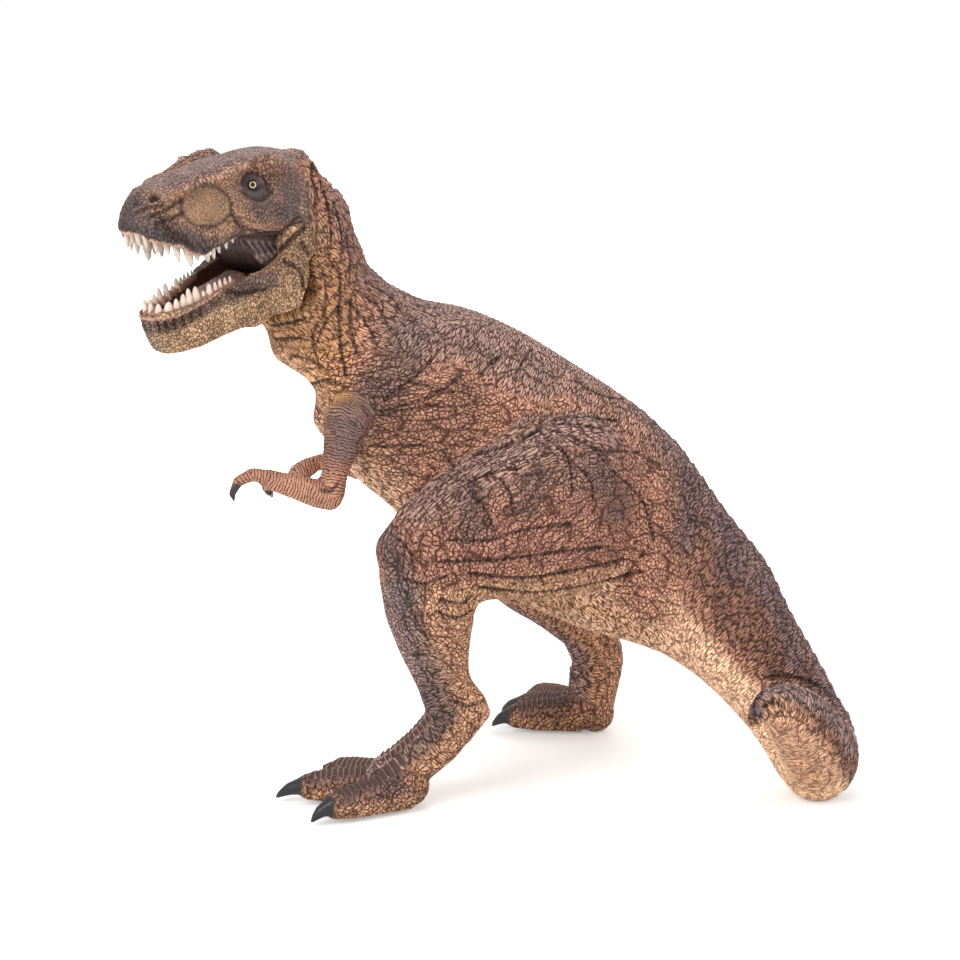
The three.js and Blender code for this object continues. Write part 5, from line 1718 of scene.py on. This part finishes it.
@dataclass(frozen=True)
class ToothRow:
    """The teeth and the gum of one jaw.

    Attributes:
        node: the CAD node it stands for.
        body: what it rides on.
        line: the gum from its middle to the near corner of the mouth, in the jaw's frame.
        near: along the gum, length and thickness of each near tooth.
        far: the same for the far side.
        up: +1 for teeth that point up and -1 for those that point down.
        gape: how far the jaw is open, in degrees.
        splay: how far the tips stand outwards, per length.
        sunk: how deep each tooth is set in the gum.
        gum_half: half the gum's breadth.
        gum_rise: half the gum's height.
    """

    node: str
    body: str
    line: Tuple[Point, ...]
    near: Tuple[Point, ...]
    far: Tuple[Point, ...]
    up: int
    gape: float = 0.0
    splay: float = 0.1
    sunk: float = 0.8
    gum_half: float = 0.8
    gum_rise: float = 0.85

    def build(self, finish: Enamel, gum_finish: Hide) -> None:
        """Makes teeth and gum and puts the teeth in their node's place."""
        path = smooth_path(self.line, 0.4)
        run = np.concatenate([[0], np.cumsum(np.linalg.norm(np.diff(path, axis=0), axis=1))])
        row = Row(self.node + "_row", 0.35)
        for side, teeth in ((-1, self.near), (1, self.far)):
            for place, length, width in teeth:
                x, y, z = (np.interp(place, run, path[:, k]) for k in range(3))
                full = length + self.sunk
                root = (x, y * side, z - self.up * self.sunk)
                tip = (x + 0.04 * full, (y + self.splay * full) * side, root[2] + self.up * full)
                root, tip = in_head((root, tip), self.gape)
                size = (width * 0.62, width * 0.56, float(np.linalg.norm(tip - root)) * 0.95)
                row.put(root, tip - root, HEAD_BACK, size)
        piece = row.build(finish.material())
        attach(piece, self.body)
        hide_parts(self.node)
        self.gum(path, gum_finish)

    def gum(self, half: np.ndarray, finish: Hide) -> None:
        """Makes the strip of gum that the teeth stand in."""
        half = half[::2]
        path = np.vstack([half[::-1] * (1, -1, 1), half[1:]])
        data = self.tube(in_head([tuple(p) for p in path], self.gape))
        count = len(data.vertices)
        for name, level in (*((name, 0) for name in PATTERNS), ("gloss", 0.5)):
            Skin.store(data, name, np.full(count, float(level)))
        place = np.array([v.co for v in data.vertices]) / MM
        Skin.store(data, "rest", place)
        Skin.store(data, "flow", place)
        Skin.store(data, "paint", np.tile(linear(GUM_PAINT), (count, 1)))
        data.materials.append(finish.material())
        piece = add_object(self.node + "_gum", data)
        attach(piece, self.body)

    def tube(self, centres: np.ndarray) -> bpy.types.Mesh:
        """Returns a closed and slightly uneven tube along the gum's middle."""
        turns = np.linspace(0, 2 * math.pi, 12, endpoint=False)
        mesh = bmesh.new()
        rings = []
        for k, centre in enumerate(centres):
            ahead = centres[min(k + 1, len(centres) - 1)] - centres[max(k - 1, 0)]
            ahead /= np.linalg.norm(ahead)
            out = np.cross(ahead, (0, 0, 1))
            out /= np.linalg.norm(out)
            out *= self.gum_half
            rise = self.gum_rise * (1 + 0.12 * math.sin(k * 2.1))
            loop = [centre + out * math.cos(t) + np.array((0, 0, rise * math.sin(t))) for t in turns]
            rings.append([mesh.verts.new(p * MM) for p in loop])
        for a, b in zip(rings[:-1], rings[1:]):
            for j in range(len(turns)):
                mesh.faces.new((a[j], a[j - 1], b[j - 1], b[j]))
        mesh.faces.new(rings[0])
        mesh.faces.new(rings[-1][::-1])
        bmesh.ops.recalc_face_normals(mesh, faces=mesh.faces)
        data = bpy.data.meshes.new(self.node + "_gum")
        mesh.to_mesh(data)
        mesh.free()
        data.shade_smooth()
        return data


@dataclass(frozen=True)
class Eyes:
    """Both eyes: glossy domes with a dark pupil in a cream ring."""

    pixel: Pixel = (252.9, 184.6)
    radius: float = 1.75
    sunk: float = 0.95
    pupil: Colour = (30, 18, 12)
    iris: Colour = (238, 208, 150)
    lid: Colour = (48, 38, 40)

    def build(self, skin: Skin, view: View) -> None:
        """Sets a dome in each socket of the head's skin."""
        place, normal = Pencil(view, skin).cast(self.pixel)
        toward = -view.ray(self.pixel)[1]
        mesh = bmesh.new()
        owners: List[Tuple[Vector, Vector]] = []
        for far in (False, True):
            points = np.array([place, place + normal, place + toward])
            if far:
                points = Mirror.HEAD.flip(points)
            outward = Vector(points[1] - points[0])
            gaze = (outward * 0.2 + Vector(points[2] - points[0]) * 0.8).normalized()
            centre = Vector(points[0]) - gaze * self.sunk
            made = bmesh.ops.create_uvsphere(mesh, u_segments=40, v_segments=28, radius=self.radius * MM)
            turn = gaze.to_track_quat("Z", "Y").to_matrix().to_4x4()
            bmesh.ops.transform(mesh, matrix=Matrix.Translation(centre * MM) @ turn, verts=made["verts"])
            owners += [(centre, gaze)] * len(made["verts"])
        data = bpy.data.meshes.new("eyes")
        mesh.to_mesh(data)
        mesh.free()
        data.shade_smooth()
        angles = [(v.co / MM - c).angle(gaze) for v, (c, gaze) in zip(data.vertices, owners)]
        Skin.store(data, "gaze", np.array(angles))
        data.materials.append(self.material())
        piece = add_object("eyes", data)
        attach(piece, "figure")

    def material(self) -> bpy.types.Material:
        """Returns the glossy paint of the eyes."""
        material, n = new_finish("eye_gloss")
        gaze = n.attribute("gaze", "FLOAT")
        place = n.add("ShaderNodeTexCoord", out="Object")
        fleck = n.noise(place, 2500.0, 2.0) * 0.06 - 0.03
        outside = n.step(gaze + fleck, 0.32, 0.35)
        rim = n.step(gaze + fleck, 0.46, 0.5)
        inner = n.mix(outside, (*linear(self.pupil), 1), (*linear(self.iris), 1))
        colour = n.mix(rim, inner, (*linear(self.lid), 1))
        values = {"Base Color": colour, "Roughness": fleck * 0.5 + 0.3, "Coat Weight": 0.1}
        shader = n.add("ShaderNodeBsdfPrincipled", values)
        n.add("ShaderNodeOutputMaterial", {"Surface": shader})
        return material


@dataclass(frozen=True)
class Scutes:
    """The rows of plates on the toes and on the front of the feet.

    Attributes:
        spacing: from plate to plate, in millimetres.
        toe_half: the half breadth of a toe's plates.
        lane_half: that of the foot's plates.
        height: how high a plate is.
        above: how far over a limb's middle the search for its skin starts.
        search: how far down that goes.
    """

    spacing: float = 1.5
    toe_half: float = 3.9
    lane_half: float = 1.75
    height: float = 0.55
    above: float = 14.0
    search: float = 20.0

    def build(self, skin: Skin, finish: Enamel) -> None:
        """Lays the plates on the skin of both feet."""
        tree = BVHTree.FromPolygons(skin.co.tolist(), skin.faces.tolist())
        toes = Plates("toe_scutes", 0.5, 4.6)
        for foot in (NEAR_TOES, FAR_TOES):
            for rank, toe in enumerate(foot):
                span = (0.08 if rank == 0 else 0.3, 0.97)
                self.line(toes, tree, toe.points[:2], (0, 0, 1), (0.0,), self.toe_half, span)
        feet = Plates("foot_scutes", 0.5, 1.1)
        for leg in (NEAR_LEG, FAR_LEG):
            ahead = np.array(leg.points[-1]) - np.array(leg.points[-3])
            out = np.cross(np.cross(ahead, (0, 0, 1)), ahead)
            self.line(feet, tree, leg.points[-3:], tuple(out), (-1.9, 1.9), self.lane_half, (0.22, 0.86))
        for row in (toes, feet):
            piece = row.build(finish.material())
            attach(piece, "figure")

    def line(
        self,
        row: Row,
        tree: BVHTree,
        points: Sequence[Point],
        out: Point,
        lanes: Sequence[float],
        half: float,
        span: Tuple[float, float],
    ) -> None:
        """Lays rows of plates over a stretch of a limb.

        Args:
            row: takes the plates.
            tree: the skin.
            points: the middle of the stretch.
            out: the way from the middle to the side that has the plates.
            lanes: how far beside the middle each row is.
            half: the half breadth of a plate.
            span: where the rows start and end, as shares of the stretch.
        """
        path = smooth_path(points, self.spacing)
        up = Vector(out).normalized()
        count = len(path)
        for k, middle in enumerate(path):
            if not span[0] <= k / (count - 1) <= span[1]:
                continue
            ahead = Vector(path[min(k + 1, count - 1)] - path[max(k - 1, 0)]).normalized()
            side = ahead.cross(up).normalized()
            for lane in lanes:
                start = Vector(middle) + side * lane + up * self.above
                place, normal, _, _ = tree.ray_cast(start, -up, self.search)
                if place is None:
                    continue
                size = (self.spacing * 0.56, half, self.height)
                row.put(place - normal * 0.2, normal + up * 0.8, -ahead, size)


UPPER_GUM = (
    (-38.3, 0, 4.9),
    (-38.3, 3, 4.9),
    (-36, 5, 3.9),
    (-32.5, 7, 2.6),
    (-27.5, 8.4, 1.1),
    (-21.5, 9.5, 1.1),
    (-15.5, 10.6, 2.6),
)
LOWER_GUM = (
    (-37.5, 0, -4.1),
    (-37.5, 2.4, -4.1),
    (-34.5, 4.3, -4.5),
    (-30, 5.9, -4.7),
    (-24, 7.5, -4.1),
    (-17.5, 8.9, -3.5),
)
UPPER_TEETH = ToothRow(
    "upper_teeth",
    "figure",
    UPPER_GUM,
    (
        *((2.0, 5.0, 1.8), (4.2, 5.0, 1.6), (6.7, 5.4, 1.6), (9.4, 4.9, 1.8), (12.0, 6.0, 2.0)),
        *((15.0, 6.4, 2.5), (17.1, 4.8, 1.9), (19.6, 5.0, 2.2), (21.4, 4.4, 1.5), (22.9, 3.2, 1.3)),
        *((24.9, 2.7, 1.2), (26.8, 1.8, 1.0)),
    ),
    (
        *((0.4, 4.6, 1.5), (3.0, 5.6, 1.7), (6.0, 5.8, 1.6), (9.4, 6.0, 1.8), (13.4, 6.6, 2.6)),
        *((15.9, 4.6, 1.6), (18.1, 5.2, 1.9), (20.4, 4.4, 1.7), (22.6, 3.2, 1.3)),
        *((24.9, 2.7, 1.2), (26.8, 1.8, 1.0)),
    ),
    -1,
)
LOWER_TEETH = ToothRow(
    "lower_teeth",
    "jaw",
    LOWER_GUM,
    (
        *((0.8, 2.9, 1.6), (3.3, 2.6, 2.0), (5.7, 2.6, 2.6), (7.8, 2.9, 1.8), (9.7, 3.6, 1.9)),
        *((11.3, 4.5, 1.8), (13.1, 4.1, 2.1), (15.0, 2.0, 1.3), (16.7, 3.1, 1.8), (18.4, 2.7, 1.3)),
        *((19.8, 2.8, 1.2), (21.2, 2.5, 1.1), (22.6, 2.3, 0.95)),
    ),
    (
        *((1.6, 2.6, 1.5), (3.6, 3.0, 1.8), (5.7, 2.6, 1.9), (7.8, 3.2, 1.7), (10.0, 4.2, 1.8)),
        *((12.6, 4.0, 1.8), (14.8, 2.2, 1.3), (16.7, 3.1, 1.7), (18.4, 2.6, 1.3)),
        *((19.8, 2.6, 1.2), (21.2, 2.4, 1.1), (22.6, 2.2, 0.95)),
    ),
    1,
    GAPE,
    0.06,
)
JAW = SkinPiece(
    *("lower_jaw", "jaw", "jaw_hide"),
    *(0.3, 16, (196, 160, 126), JAW_STROKES),
    beads=0.9,
    depth=0.22,
)
LINING = SkinPiece(
    *("mouth_lining", "figure", "mouth_skin"),
    *(0.35, 10, (66, 46, 44), LINING_STROKES),
    cross=0.3,
    gloss=0.35,
    depth=0.1,
)
TONGUE = SkinPiece(
    *("tongue", "jaw", "tongue_skin"),
    *(0.25, 10, (200, 158, 142), TONGUE_STROKES),
    beads=0.4,
    gloss=0.5,
    depth=0.08,
)


def main() -> None:
    """Builds the figure's looks piece by piece."""
    logging.basicConfig(level=logging.INFO, format="%(message)s")
    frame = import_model()
    view = View()
    view.place()
    Studio().build()
    solids = frame["nodes"]
    head_finish = Hide("head_vinyl", bead=0.78, shade=(0.27, 0.19, 0.17), pale=(1.42, 1.4, 1.36))
    figure = FigureSkin(solids, view, Hide("hide_vinyl"), head_finish)
    figure.build()
    jaw_finish = Hide("jaw_vinyl", bead=0.72, shade=(0.34, 0.26, 0.22), pale=(1.45, 1.42, 1.36))
    mouth_finish = Hide("mouth_vinyl")
    JAW.build(solids, view, jaw_finish)
    LINING.build(solids, view, mouth_finish)
    TONGUE.build(solids, view, Hide("tongue_vinyl", bead=0.6))
    ivory = Enamel("tooth_enamel", (204, 162, 138), (238, 218, 202), "height", (0.05, 0.55), 0.32)
    UPPER_TEETH.build(ivory, mouth_finish)
    LOWER_TEETH.build(ivory, mouth_finish)
    Eyes().build(figure.skin, view)
    scute_finish = Enamel("scute_vinyl", (76, 54, 50), (166, 128, 110), "height", (0.66, 0.95), 0.62)
    Scutes().build(figure.skin, scute_finish)
    steel = Enamel("pin_steel", (150, 150, 154), (178, 178, 182), "height", (-0.3, 0.3), 0.24, 1.0)
    pin = solids["jaw_hinge_pin"]
    for material_slot in pin.material_slots:
        material_slot.material = steel.material()


if __name__ == "__main__":
    main()
